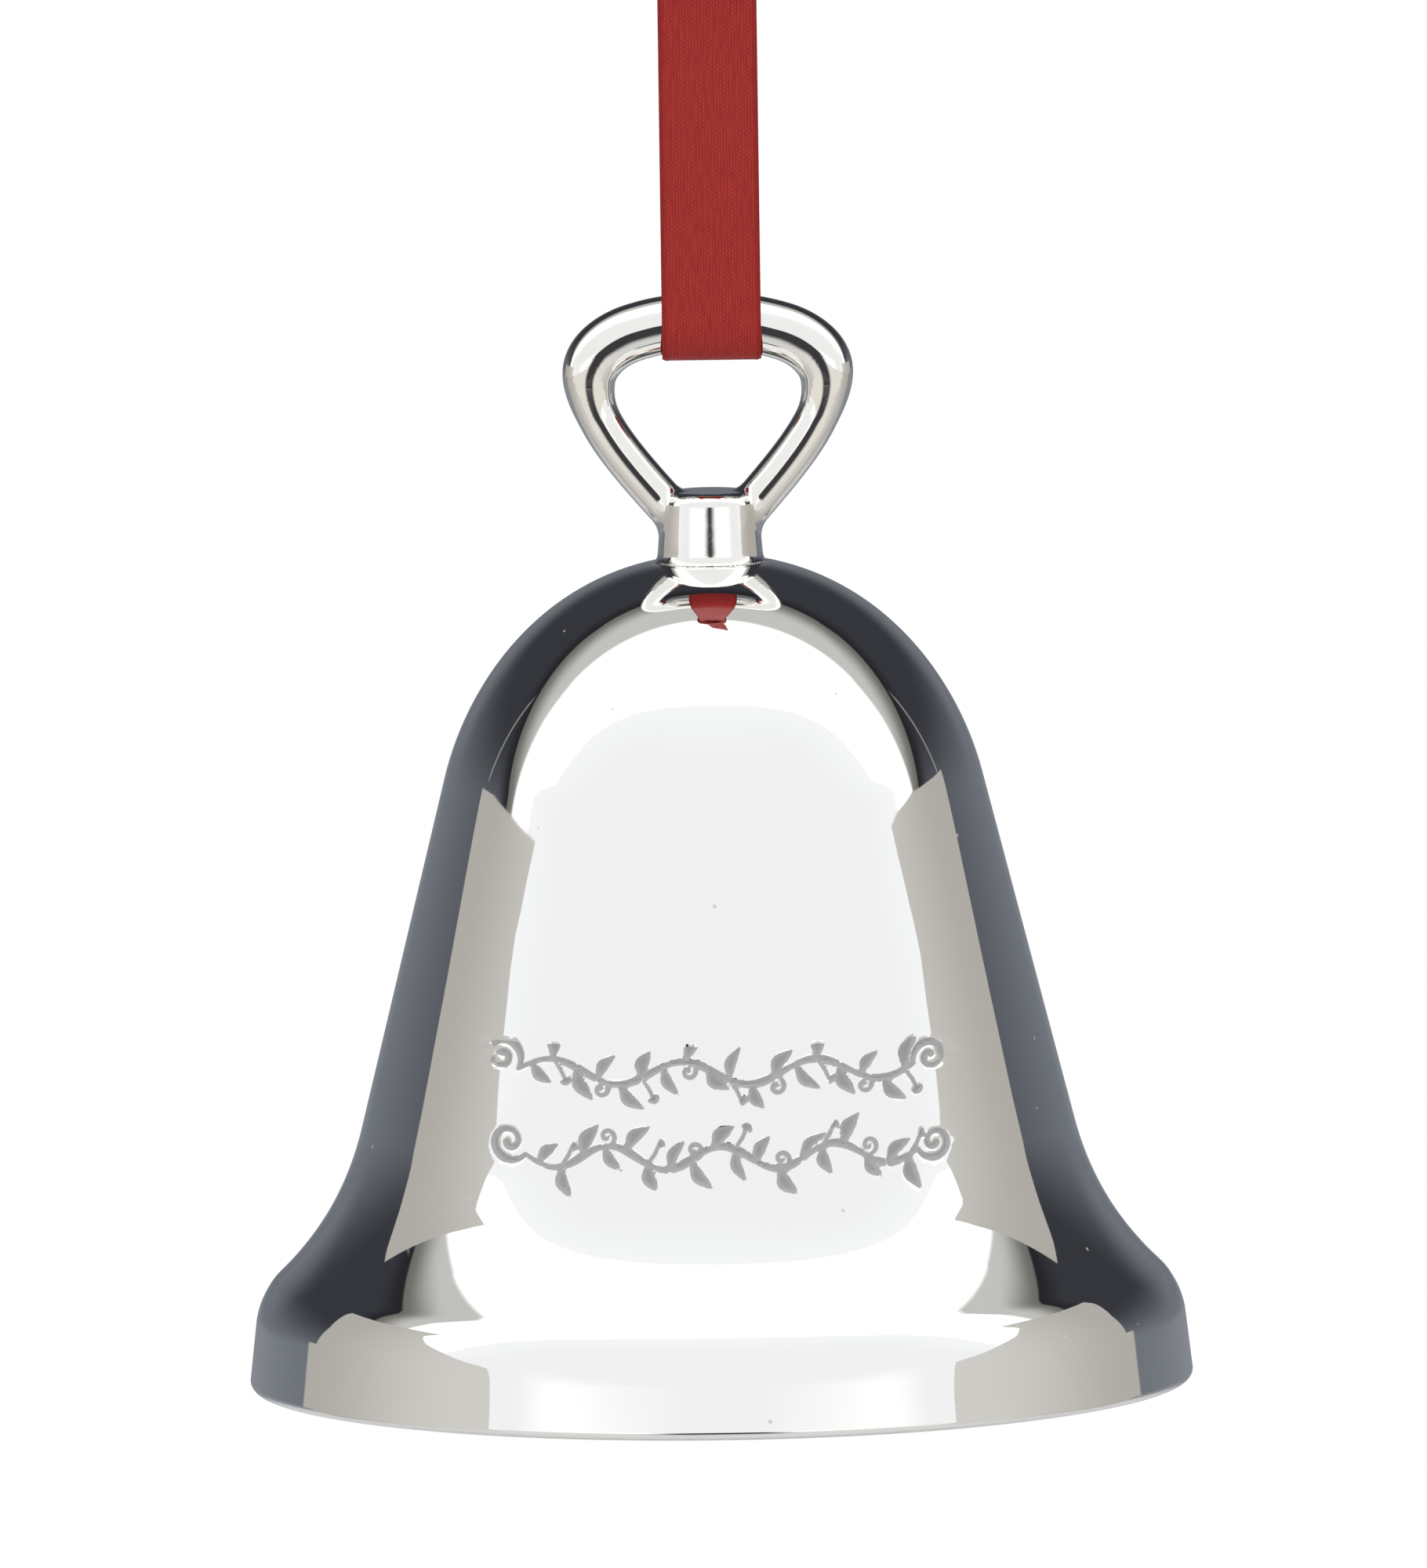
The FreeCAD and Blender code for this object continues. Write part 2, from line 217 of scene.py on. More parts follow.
# %% [markdown]
# ## The studio
# A mirror has no look of its own: the bell is drawn by the cards and lamps round it. The
# real set is a large pale panel in front, a softbox overhead that runs down both sides, grey
# flats beyond it and a dark room behind. It could be built from real emitting planes, but a
# world shader that paints the same set by direction lights every view evenly and can't get
# in the camera's way. In it x points right, y away from the camera and z up.

# %% The studio by direction
world = bpy.data.worlds.new("studio")
world.use_nodes = True
bpy.context.scene.world = world
set_up = Bench(world.node_tree, bare=True)
axes = set_up.split(set_up.add("ShaderNodeTexCoord")["Generated"])
right, back, up = axes["X"], axes["Y"], axes["Z"]
EDGE = 0.008

# The dark room: blackest beside the flats, lighter and bluer towards the floor.
room = set_up.blend(up.step(-0.14, 0.40), ink(118, 123, 131), ink(54, 56, 62))
past_flats = back - up * 0.552 - 0.060
room = set_up.blend(past_flats.step(0.15, 0.0), room, ink(38, 38, 42))
behind = (back - 0.80).step(0.0, 0.17) * up.step(0.0, 0.10) * up.step(0.50, 0.20)
room = set_up.blend(behind * 0.45, room, ink(128, 131, 137))
seam = abs(back - abs(right) * 0.50).step(0.012, 0.004) * up.step(0.18, 0.22) * up.step(0.54, 0.48)
room = set_up.blend(seam * 0.6, room, ink(176, 176, 172))

# Grey flats stand between the softbox and the dark room.
flats = set_up.blend(past_flats.step(-0.01, -0.20), ink(112, 112, 108), ink(197, 197, 195))
studio = set_up.blend(past_flats.step(EDGE, -EDGE), room, flats)

# The softbox runs overhead and down both sides.
softbox = (back - up * 0.14 - 0.078).step(EDGE * 2, -EDGE * 2)
studio = set_up.blend(softbox, studio, (1.25, 1.25, 1.25))

# The table in front is pale, and greyer behind the bell.
table = set_up.blend(back.step(-0.3, 0.5), ink(232, 229, 222), ink(136, 140, 147))
studio = set_up.blend(up.step(-0.015, -0.13), studio, table)

# Low warm flats stand far out beside the table.
far_card = up.step(0.085, 0.075) * (back - 0.56).step(EDGE, -EDGE)
far_tone = set_up.blend(back.step(0.45, -0.45), ink(178, 175, 170), ink(214, 211, 205))
studio = set_up.blend(far_card * up.step(-0.13, -0.11), studio, far_tone)
print("room, flats, softbox and table:", len(world.node_tree.nodes), "nodes")

# %% [markdown]
# ### The panel and the stand
# One pale panel in front draws the bell's clean face. A lamp behind cloth would do as well,
# but a card is evenly bright and its edge stays crisp in a mirror. The camera's dark stand
# shows below the panel, as the dark streaks in the neck and the loop.

# %% The panel and the stand
# The panel has round corners and is wider near the table.
ROUND = 0.30
panel_side = back + up * 0.28 + 0.125 - up.step(0.37, 0.265) * 0.13
panel_side = (panel_side + up.step(0.14, 0.06) * 0.24 + ROUND).most(0.0)
panel_top = (up - 0.900 + ROUND).most(0.0)
panel_edge = (panel_side * panel_side + panel_top * panel_top).maths("SQRT") - ROUND
panel_tone = set_up.blend(panel_edge.step(-0.30, -0.02), ink(245, 247, 248), ink(250, 252, 254))
studio = set_up.blend(panel_edge.step(EDGE, -EDGE) * up.step(-0.16, -0.10), studio, panel_tone)

# Below the panel a lamp glows on both sides of the camera's dark stand.
low_lamp = abs(right).step(0.12, 0.30) * abs(right).step(0.80, 0.62) * back.step(0.0, -0.2)
low_lamp = low_lamp * up.step(0.105, 0.075) * up.step(-0.16, -0.05)
studio = set_up.blend(low_lamp, studio, (1.2, 1.2, 1.2))
stand = 0.25 * up.step(0.11, 0.0) + (-0.10 - up).most(0.0) * 0.10
stand = (abs(right) - stand).step(0.09, -0.10) * back.step(0.0, -0.1) * up.step(0.098, 0.080)
studio = set_up.blend(stand * up.step(-0.85, -0.35), studio, ink(60, 59, 63))

light = set_up.add("ShaderNodeBackground", None, {"Color": studio, "Strength": 1.0})[0]
plain = set_up.add("ShaderNodeBackground", None, {"Color": (1, 1, 1, 1), "Strength": 1.0})[0]
seen = set_up.add("ShaderNodeLightPath")["Is Camera Ray"]
both = set_up.add("ShaderNodeMixShader", None, {0: seen, 1: light, 2: plain})[0]
set_up.add("ShaderNodeOutputWorld", None, {"Surface": both})
print("whole studio:", len(world.node_tree.nodes), "nodes")

# %% [markdown]
# ## Side cards
# Two warm grey cards stand close beside the bell and shade its flanks. Because they are near,
# the flare sees their tops from lower down than the dome does, which a far-off studio can't
# show, so they are real curved sheets. They only show in reflections: no camera, shadow or
# soft light meets them. They are no lamps but glow by themselves, with painted light that is
# brighter on the side towards the camera and duller behind.

# %% Side cards
HANG = 94.52  # mm from the bell's mouth up to the hanging point
CARD_RADIUS, CARD_FOOT = 88 * MM, -40
CARD_ROWS, CARD_COLUMNS = 41, 33
HEIGHTS, INNER, OUTER = (-40, 8, 30, 39, 49, 57), (49, 49, 64, 71.5, 76, 73), (103, 103, 104, 106, 109, 110)
TOPS = {-1: ("card_left", 57.2, 53.0), 1: ("card_right", 58.0, 57.0)}


def lattice(rows, columns, closed=True):
    """The faces of a net whose points lie row after row, closed round each row or open."""
    return [(r * columns + c, r * columns + (c + 1) % columns,
             (r + 1) * columns + (c + 1) % columns, (r + 1) * columns + c)
            for r in range(rows - 1) for c in range(columns if closed else columns - 1)]


def as_mesh(name, points, faces):
    """An object at the origin from points in metres."""
    made = bpy.data.meshes.new(name)
    made.from_pydata([tuple(map(float, p)) for p in points], [], faces)
    made.update()
    return put(name, made)


def coat(piece, material):
    """Gives a piece one finish."""
    piece.data.materials.clear()
    piece.data.materials.append(material)


card_painted_glow = bpy.data.materials.new("card_painted_glow")
card_painted_glow.use_nodes = True
bench = Bench(card_painted_glow.node_tree, bare=True)
# painted light: the glowing card is brighter towards the camera and duller behind
shade = bench.split(bench.object_place())["Y"].step(0.020, -0.055)
shade = bench.blend(shade, ink(178, 175, 170), ink(210, 208, 204))
glow = bench.add("ShaderNodeEmission", None, {"Color": shade, "Strength": 1.0})[0]
bench.add("ShaderNodeOutputMaterial", None, {"Surface": glow})
for side, (name, inner_top, outer_top) in TOPS.items():
    points = []
    for row in range(CARD_ROWS):
        for share in np.arange(CARD_COLUMNS) / (CARD_COLUMNS - 1):
            top = inner_top + (outer_top - inner_top) * share
            height = CARD_FOOT + (top - CARD_FOOT) * row / (CARD_ROWS - 1)
            inner, outer = np.interp(height, HEIGHTS, INNER), np.interp(height, HEIGHTS, OUTER)
            turn_by = radians(inner + (outer - inner) * share)
            points.append((side * CARD_RADIUS * sin(turn_by), -CARD_RADIUS * cos(turn_by),
                           (height - HANG) * MM))
    card = as_mesh(name, points, lattice(CARD_ROWS, CARD_COLUMNS, closed=False))
    coat(card, card_painted_glow)
    card.visible_camera = card.visible_diffuse = card.visible_shadow = False
    card.visible_transmission = False
print("cards stand", round(CARD_RADIUS / MM), "mm from the bell's axis")

# %% [markdown]
# ## Floor
# The bell hangs clear of a plain pale floor. The floor is a disc that fades into the white
# at its edge, so it never draws a line behind the bell, and from below it can be seen
# through.

# %% Floor
FLOOR_HEIGHT, FLOOR_RADIUS = -150 * MM, 280 * MM
mesh = bpy.data.meshes.new("floor")
form = bmesh.new()
bmesh.ops.create_circle(form, cap_ends=True, segments=128, radius=FLOOR_RADIUS)
bmesh.ops.translate(form, verts=form.verts, vec=(0, 0, FLOOR_HEIGHT))
form.to_mesh(mesh)
form.free()
floor = put("floor", mesh)
floor_paint, bench, shader = finish("floor_paint")
bench.drive(shader, {"Base Color": (0.88, 0.88, 0.88, 1), "Roughness": 0.7})
far = bench.add("ShaderNodeVectorMath", {"operation": "LENGTH"}, {0: bench.object_place()})["Value"]
hidden = bench.add("ShaderNodeNewGeometry")["Backfacing"]
hidden = hidden.most(far.step(0.6 * FLOOR_RADIUS, 1.1 * FLOOR_RADIUS))
clear = bench.add("ShaderNodeBsdfTransparent")[0]
paint = bench.add("ShaderNodeMixShader", None, {0: hidden, 1: Signal(bench, shader.outputs[0]), 2: clear})
bench.drive(bench.tree.nodes["Material Output"], {"Surface": paint[0]})
coat(floor, floor_paint)
print("floor", round(FLOOR_HEIGHT / MM), "mm high, radius", round(FLOOR_RADIUS / MM), "mm")

# %% [markdown]
# ## Drawing outlines
# The spun shell, the neck and the loop all follow curves whose direction is known at both
# ends. A cubic curve with two handles does that: a slope says how far the line leans in from
# upright, and a fullness says how long the handle is, as a share of the straight distance.

# %% Curves with a slope at each end
def bow(start, slope, fullness, end, end_slope, end_fullness, steps):
    """Points along a cubic curve, the first one left out. Slopes are degrees in from upright."""
    start, end = np.array(start, float), np.array(end, float)
    reach = np.linalg.norm(end - start)
    lean = lambda a: np.array([-sin(radians(a)), cos(radians(a))])
    first = start + lean(slope) * fullness * reach
    last = end - lean(end_slope) * end_fullness * reach
    t = np.linspace(0, 1, steps + 1)[1:, None]
    return list(start * (1 - t) ** 3 + 3 * first * t * (1 - t) ** 2
                + 3 * last * t * t * (1 - t) + end * t ** 3)


def straight(start, end, steps):
    """Points along a line, the first one left out."""
    start, end = np.array(start, float), np.array(end, float)
    return [start + (end - start) * k / steps for k in range(1, steps + 1)]


def travelled(points):
    """How far along a line each of its points lies."""
    return np.concatenate([[0], np.cumsum(np.linalg.norm(np.diff(points, axis=0), axis=1))])


def evened(points, rounds):
    """The same line with its corners rubbed off and its two ends left where they were."""
    for _ in range(rounds):
        points[1:-1] = (points[:-2] + 2 * points[1:-1] + points[2:]) / 4
    return points


def unit(rows):
    """Directions of length one."""
    return rows / np.linalg.norm(rows, axis=1)[:, None]


quarter = bow((1, 0), 0, 0.55, (0, 1), 90, 0.55, 8)
print("half-way round a quarter bow the radius is", round(float(np.hypot(*quarter[3])), 3))

# %% [markdown]
# ## The ribbon's line
# The ribbon is one strip of woven satin. It hangs from its knot, goes under the handle's bar
# and comes back up, and the bell's weight keeps both sides straight. Its line is a smooth
# spline with a few points, and the tight turn is as large as the bar it goes round. A strip
# drawn as two flat walls would miss the soft turn under the bar.

# %% The ribbon's line
RIBBON_WIDTH, RIBBON_THICKNESS = 6.5 * MM, 0.25 * MM
ASIDE = 0.28 * MM
KNOT_ENTRY = 1.1 * MM
BAR_HEIGHT, BIGHT = -24.5 * MM, 2.376 * MM
lean = math.asin(BIGHT / math.hypot(KNOT_ENTRY, BAR_HEIGHT)) - math.atan2(KNOT_ENTRY, -BAR_HEIGHT)
corner = BIGHT * tan((pi / 2 + lean) / 2)
low = BAR_HEIGHT - BIGHT
rise = 2 * corner
side = corner - rise * (corner - KNOT_ENTRY) / -low
route = [(-KNOT_ENTRY, 0), (-side, low + rise), (-corner, low),
         (corner, low), (side, low + rise), (KNOT_ENTRY, 0)]

line = bpy.data.curves.new("ribbon_line", "CURVE")
line.dimensions = "3D"
line.resolution_u = 40
spline = line.splines.new("NURBS")
spline.points.add(len(route) - 1)
for point, (y, z) in zip(spline.points, route):
    point.co = (ASIDE, y, z, 1)
spline.order_u = 3
spline.use_endpoint_u = True
drawn = put("ribbon_line", line)
bpy.context.view_layer.update()
path = [v.co.copy() for v in bpy.data.meshes.new_from_object(drawn).vertices]
bpy.data.objects.remove(drawn)
run = np.array([tuple(p) for p in path])
travel = travelled(run)
print("ribbon line:", len(path), "points,", round(travel[-1] / MM, 2), "mm")

# %% [markdown]
# ## The ribbon
# Woven ribbon is a thin strip with a firm, slightly thicker selvedge at each side. Here a
# thin closed section is carried along the line. Where the ribbon enters its knot it is
# gathered into shallow pleats, and a faint slow wave keeps the strip from looking like tin.
# Its own UV map, in millimetres across and along, carries the weave.

# %% A strip swept along a line
FIRM = 0.12  # share of the half-width that the thick selvedge takes up


def clothe(piece, uv_of, merge=False):
    """Turns a cloth's faces outwards, smooths them and lays out the map that carries its weave."""
    form = bmesh.new()
    form.from_mesh(piece.data)
    if merge:
        bmesh.ops.remove_doubles(form, verts=form.verts, dist=1e-6)
    bmesh.ops.recalc_face_normals(form, faces=form.faces)
    weave = form.loops.layers.uv.new("weave")
    for face in form.faces:
        face.smooth = True
        for loop in face.loops:
            loop[weave].uv = uv_of(loop.vert)
    form.to_mesh(piece.data)
    form.free()


def strip(name, line_points, across, widths, wave, columns=26, thickness=RIBBON_THICKNESS):
    """A closed thin strip. across gives the width's direction at each point, widths its width,
    and wave how far the cloth stands off its line, from a share across and a row number."""
    rows = len(line_points)
    face = unit(np.cross(unit(np.gradient(line_points, axis=0)), across))
    along = travelled(line_points)
    share = np.linspace(-1, 1, columns)
    ring = [(s, 1) for s in share] + [(s, -1) for s in share[::-1]]
    points, uvs = [], []
    for row in range(rows):
        for s, layer in ring:
            firm = 1.0 + 0.5 * max(0.0, (abs(s) - 1 + FIRM) / FIRM) * (abs(s) < 0.99)
            narrow = 0.35 if abs(s) > 0.99 else 1.0
            off = wave(s, row) + layer * thickness / 2 * firm * narrow
            points.append(line_points[row] + across[row] * s * widths[row] / 2 + face[row] * off)
            uvs.append((s * RIBBON_WIDTH / 2 / MM, along[row] / MM))
    size = len(ring)
    faces = lattice(rows, size)
    for r, flip in ((0, True), (rows - 1, False)):
        for c in range(columns - 1):
            quad = (r * size + c, r * size + c + 1, r * size + size - 2 - c, r * size + size - 1 - c)
            faces.append(quad[::-1] if flip else quad)
    made = as_mesh(name, points, faces)
    clothe(made, lambda vertex: uvs[vertex.index])
    made.data.set_sharp_from_angle(angle=radians(50))
    return made


print("the selvedge is", round(FIRM * RIBBON_WIDTH / 2 / MM, 2), "mm wide")

# %% [markdown]
# ### The loop of ribbon
# The pull of the bell keeps both runs straight, and only the cloth near the knot is drawn
# together. The strip is wide and flat, so its width stays along x over the whole loop.

# %% The loop of ribbon
STEP = 0.22 * MM
GATHER = 2.6 * MM  # the pleats reach this far below the knot
stops = np.linspace(0, travel[-1], int(travel[-1] / STEP))
line_points = evened(np.stack([np.interp(stops, travel, run[:, k]) for k in range(3)], axis=1), 3)
gathered = np.clip(1 + line_points[:, 2] / GATHER, 0, 1) ** 2
widths = RIBBON_WIDTH * (1 - 0.22 * gathered)
across = np.tile([1.0, 0, 0], (len(stops), 1))


def cloth_wave(s, row):
    """How far the loop's cloth stands off its line: pleats at the knot and a slow drift below."""
    pleat = gathered[row] * 0.22 * MM * cos(2.5 * pi * s)
    z = line_points[row, 2]
    away_from_bar = min(1.0, max(0.0, (z - BAR_HEIGHT - 2 * MM) / (6 * MM)))
    drift = 0.05 * MM * sin(z / (3.1 * MM) + 1.3 * s) * away_from_bar
    return pleat + drift


ribbon = strip("ribbon_strip", line_points, across, widths, cloth_wave)
print("ribbon faces:", len(ribbon.data.polygons))

# %% [markdown]
# ## The knot and the tails
# An overhand knot in ribbon is a small soft pillow with two bands lying across each other,
# and the two cut ends stand out of its top. The pillow is a rounded, puffed block, and the
# bands are strips wound round it at a slant. The tails are strips too: gathered where they
# leave the knot, then opening to full width, with slanted ends so that they don't fray.

# %% The knot
knot_low, knot_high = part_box("ribbon_knot")
knot_middle = np.array((knot_low + knot_high) / 2) + np.array([ASIDE, 0, 0])
knot_half = np.array((knot_high - knot_low) / 2)


def puffed(name, middle, half, roundness=2.6, columns=72, rows=40):
    """A soft block: a ball pushed out towards its corners, with shallow creases."""
    points = []
    for r in range(rows + 1):
        tilt = pi * r / rows
        for c in range(columns):
            swing = 2 * pi * c / columns
            way = np.array([sin(tilt) * cos(swing), sin(tilt) * sin(swing), cos(tilt)])
            size = (np.abs(way) ** roundness).sum() ** (-1 / roundness)
            crease = 1 - 0.035 * cos(5 * way[0] * 2 + 4 * way[2]) ** 8
            points.append(middle + half * way * size * crease)
    made = as_mesh(name, points, lattice(rows + 1, columns))
    clothe(made, lambda vertex: (vertex.co.x / MM, vertex.co.z / MM), merge=True)
    return made


def wound(name, slant, half, width, grow):
    """A band wound once round the knot at a slant, open behind where it tucks in."""
    turns = np.linspace(-0.02, 1.02, 150) * 2 * pi
    rim = [(cos(a), sin(a)) for a in turns]
    size = np.array([(abs(x) ** 3 + abs(y) ** 3) ** (-1 / 3) for x, y in rim])
    swell = 1 + grow * (turns / (2 * pi))
    points = np.array([[y * s * half[0] * g, x * s * half[1] * g, 0]
                       for (x, y), s, g in zip(rim, size, swell)])
    tip = Matrix.Rotation(slant, 3, "Y")
    points = np.array([tuple(tip @ Vector(p)) for p in points]) + knot_middle
    lay = np.tile(np.array(tip @ Vector((0, 0, 1))), (len(points), 1))
    band = width * (1 - 0.12 * np.abs(np.sin(turns)))
    crown = lambda s, row: 0.16 * MM * (s * s - 0.4) * -1
    return strip(name, points, lay, band, crown, columns=18, thickness=0.3 * MM)


def joined(name, first, *others):
    """Several meshes as one object under a new name."""
    bpy.context.view_layer.update()
    with bpy.context.temp_override(active_object=first, selected_editable_objects=[first, *others]):
        bpy.ops.object.join()
    first.name = name
    return first


core = puffed("ribbon_knot_core", knot_middle, knot_half * np.array([0.90, 0.80, 0.98]))
under = wound("ribbon_knot_under", radians(-24), knot_half[:2] * [0.95, 0.86], 4.6 * MM, 0.02)
over = wound("ribbon_knot_over", radians(20), knot_half[:2] * [1.0, 0.98], 4.2 * MM, 0.03)
knot = joined("ribbon_knot_folds", core, under, over)
print("knot faces:", len(knot.data.polygons))

# %% [markdown]
# ### The cut tails
# The two ends are cut at a slant. They are drawn with the same strip as the loop: pleated and
# narrow where the knot holds them, then flat, with a slight twist away from each other.

# %% The cut tails
TAIL_LENGTH, TAIL_SPLAY, TAIL_LEAN, TAIL_CUT = 13.0 * MM, radians(13), radians(8), 2.2 * MM


def tail(name, hand):
    """One cut end, standing up from the knot and leaning outwards. hand is -1 in front, +1 behind."""
    steps = np.linspace(0, 1, 64)
    reach = (TAIL_LENGTH + 2.0 * MM) * steps
    out = hand * (0.8 * MM + reach * sin(TAIL_LEAN) + 0.9 * MM * steps ** 2)
    sway = hand * -reach * sin(TAIL_SPLAY)
    points = np.stack([sway + ASIDE, out, knot_high.z - 2.4 * MM + reach * cos(TAIL_SPLAY)], axis=1)
    wide = RIBBON_WIDTH * (0.62 + 0.38 * np.clip(steps / 0.42, 0, 1) ** 0.7)
    twist = radians(14) * hand * steps
    aim = np.stack([np.cos(twist), np.sin(twist), np.zeros(64)], axis=1)
    soft = lambda s, row: (0.34 * MM * cos(3 * pi * s) * (1 - steps[row]) ** 3
                           + 0.12 * MM * sin(6 * steps[row] + s))
    made = strip(name, points, aim, wide, soft)
    for vertex in made.data.vertices:
        share = (vertex.co.z - knot_high.z) / TAIL_LENGTH
        offset = (vertex.co.x - np.interp(vertex.co.z, points[:, 2], points[:, 0])) / RIBBON_WIDTH
        vertex.co.z -= TAIL_CUT * hand * offset * max(0.0, share) ** 2
    return made


tails = joined("ribbon_tails_cut", tail("ribbon_tail_front", -1), tail("ribbon_tail_back", 1))
print("tail faces:", len(tails.data.polygons))

# %% [markdown]
# ## Woven satin
# The cloth is a tight plain weave: fine warp threads run along it, and each passes over and
# under the weft in short dashes. Two waves that are offset from thread to thread draw that
# checker of dashes. The raised threads are painted lighter and the dips between them darker,
# which is painted shade of the weave's relief; uneven noise varies the dye, and the selvedge
# is a shade darker and smoother. An even red would look like plastic.

# %% Ribbon material
ribbon_cloth, bench, shader = finish("ribbon_fabric")
place = bench.add("ShaderNodeUVMap", {"uv_map": "weave"})[0]
over_cloth = bench.split(place)
wander = bench.noise(place, 0.9, 2.0)
THREAD, DASH = 0.20, 0.29  # mm across and along
warp_count = over_cloth["X"] / THREAD + wander * 0.5
weft_count = over_cloth["Y"] / DASH + wander * 0.6
thread = abs((warp_count * pi).maths("SINE"))
offset = (warp_count.maths("FLOOR") * 0.5).maths("FRACT")
dash = abs(((weft_count + offset) * pi).maths("SINE"))
lift = thread.maths("POWER", 0.7) * (0.35 + dash * 0.65)
slub = bench.noise(bench.stretch(place, (5.0, 0.8, 1.0)), 1.0, 3.0)
selvedge = abs(over_cloth["X"]).step(2.80, 3.10)
# painted shade and real dye together: raised threads lighter, the dips between them darker, plus the dye's
# uneven noise
dye_and_thread_shade = (lift * 0.55 + slub * 0.75).step(0.25, 1.05)
cloth = bench.blend(dye_and_thread_shade, ink(150, 33, 32), ink(186, 56, 50))
cloth = bench.blend(selvedge * 0.55, cloth, ink(134, 24, 24))
relief = bench.bump(0.45, 0.05 * MM, lift * (1.0 - selvedge * 0.7) + slub * 0.4)
bench.drive(shader, {"Base Color": cloth, "Roughness": 0.62 - lift * 0.12 + selvedge * 0.06,
                     "Sheen Weight": 0.05, "Sheen Roughness": 0.4, "Specular IOR Level": 0.2,
                     "Normal": relief})
for piece in (ribbon, knot, tails):
    coat(piece, ribbon_cloth)
print("ribbon cloth nodes:", len(ribbon_cloth.node_tree.nodes))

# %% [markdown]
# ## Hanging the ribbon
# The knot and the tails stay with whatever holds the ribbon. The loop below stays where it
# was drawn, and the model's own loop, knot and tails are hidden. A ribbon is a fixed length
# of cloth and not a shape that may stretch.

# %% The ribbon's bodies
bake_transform(ribbon)
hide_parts("ribbon_loop")
for piece, node in ((knot, "ribbon_knot"), (tails, "ribbon_tails")):
    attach(piece, "hanger")
    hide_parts(node)

# %% [markdown]
# ## The bell's outline
# The bell is spun: a disc of brass is pushed over a turning form, so every cut through its
# axis shows the same line. That line runs from the bolt hole over the crown, down the
# straight side, out through the flare and the soft shoulder to the band, under the rim and
# back up inside. Rows lie close together where the line bends and where it is engraved.

# %% The shell's outline
spot = lambda radius, height: np.array((radius, height), float)
LIP, LIP_TOP, LIP_EDGE, RIM = spot(28.6, 0), spot(28.6, 3), spot(30.5, 0), spot(31.0, 0.5)
BAND_TOP, SHOULDER, WAIST = spot(30.55, 4.4), spot(29.11, 7.32), spot(23.45, 17.05)
DOME, CROWN, HOLE_TOP = spot(17.67, 40.14), spot(3.9, 54.25), spot(1.6, 54.25)
HOLE_FOOT, CROWN_INSIDE = spot(1.6, 53.05), spot(4.3, 53.05)
BAND_SLOPE, SHOULDER_SLOPE, SIDE_SLOPE, CROWN_SLOPE = 5.84, 46.4, 14.05, 77.9
WALL = 1.2
inwards = spot(cos(radians(SIDE_SLOPE)), sin(radians(SIDE_SLOPE))) * -WALL
band_foot = RIM + 0.015 * (BAND_TOP - RIM)  # a close row, so that the band stays flat to its foot
engraved_top = WAIST + (DOME - WAIST) * 0.47

outline = [LIP] + straight(LIP, LIP_EDGE, 2)
outline += bow(LIP_EDGE, -90, 0.39, RIM, 0, 0.39, 6)
outline += [band_foot] + straight(band_foot, BAND_TOP, 4)
outline += bow(BAND_TOP, BAND_SLOPE, 0.26, SHOULDER, SHOULDER_SLOPE, 0.33, 16)
outline += bow(SHOULDER, SHOULDER_SLOPE, 0.36, WAIST, SIDE_SLOPE, 0.34, 42)
outline += straight(WAIST, engraved_top, 64) + straight(engraved_top, DOME, 11)
outline += bow(DOME, SIDE_SLOPE, 0.30, CROWN, CROWN_SLOPE, 0.41, 36)
outline += straight(CROWN, HOLE_TOP, 2) + straight(HOLE_TOP, HOLE_FOOT, 1)
outline += straight(HOLE_FOOT, CROWN_INSIDE, 2)
inner = bow(DOME + inwards, SIDE_SLOPE, 0.30, CROWN_INSIDE, CROWN_SLOPE, 0.41, 18)
outline += inner[-2::-1] + straight(inner[0], DOME + inwards, 1)
outline += straight(DOME + inwards, WAIST + inwards, 6)
outline += bow(WAIST + inwards, SIDE_SLOPE - 180, 0.38, LIP_TOP, -180, 0.30, 16)
outline += straight(LIP_TOP, LIP, 3)
outline_mm = np.array(outline)
print("outline:", len(outline_mm), "rows, widest", outline_mm[:, 0].max(), "mm")

# %% [markdown]
# ## The engraving
# A two-line greeting is cut into the real bell's front. This bell carries an ornament of the
# same size and weight instead: two sprays of leaves, berries and tendrils. Each is drawn as
# pen strokes on a flat sheet, as an engraver draws them, with a half-width that swells and
# thins. The marks can then be pressed into any surface that faces the sheet.

# %% Pen strokes and leaves
PITCH = 0.10


def stroke(points, half_widths):
    """Marks along a smooth line: x, height and half-width in mm, evenly spaced."""
    points = np.array(points, float)
    fine = np.linspace(0, len(points) - 1, 240)
    smooth = np.stack([np.interp(fine, range(len(points)), points[:, k]) for k in (0, 1)], axis=1)
    smooth = evened(smooth, 60 if len(points) < 12 else 6)
    gone = travelled(smooth)
    marks = np.linspace(0, gone[-1], max(3, int(gone[-1] / PITCH)))
    share = marks / gone[-1]
    half = np.interp(share, np.linspace(0, 1, len(half_widths)), half_widths)
    return np.stack([np.interp(marks, gone, smooth[:, 0]),
                     np.interp(marks, gone, smooth[:, 1]), half], axis=1)


def curl(x, z, size, hand, opening, turns=1.35):
    """A tendril: a spiral that starts at x, z and winds in."""
    angles = np.linspace(0, turns * 2 * pi, 60)
    radii = size * (1 - angles / angles[-1] * 0.85)
    centre_x, centre_z = x - size * cos(opening), z - size * sin(opening)
    return [(centre_x + r * cos(opening + hand * a), centre_z + r * sin(opening + hand * a))
            for a, r in zip(angles, radii)]


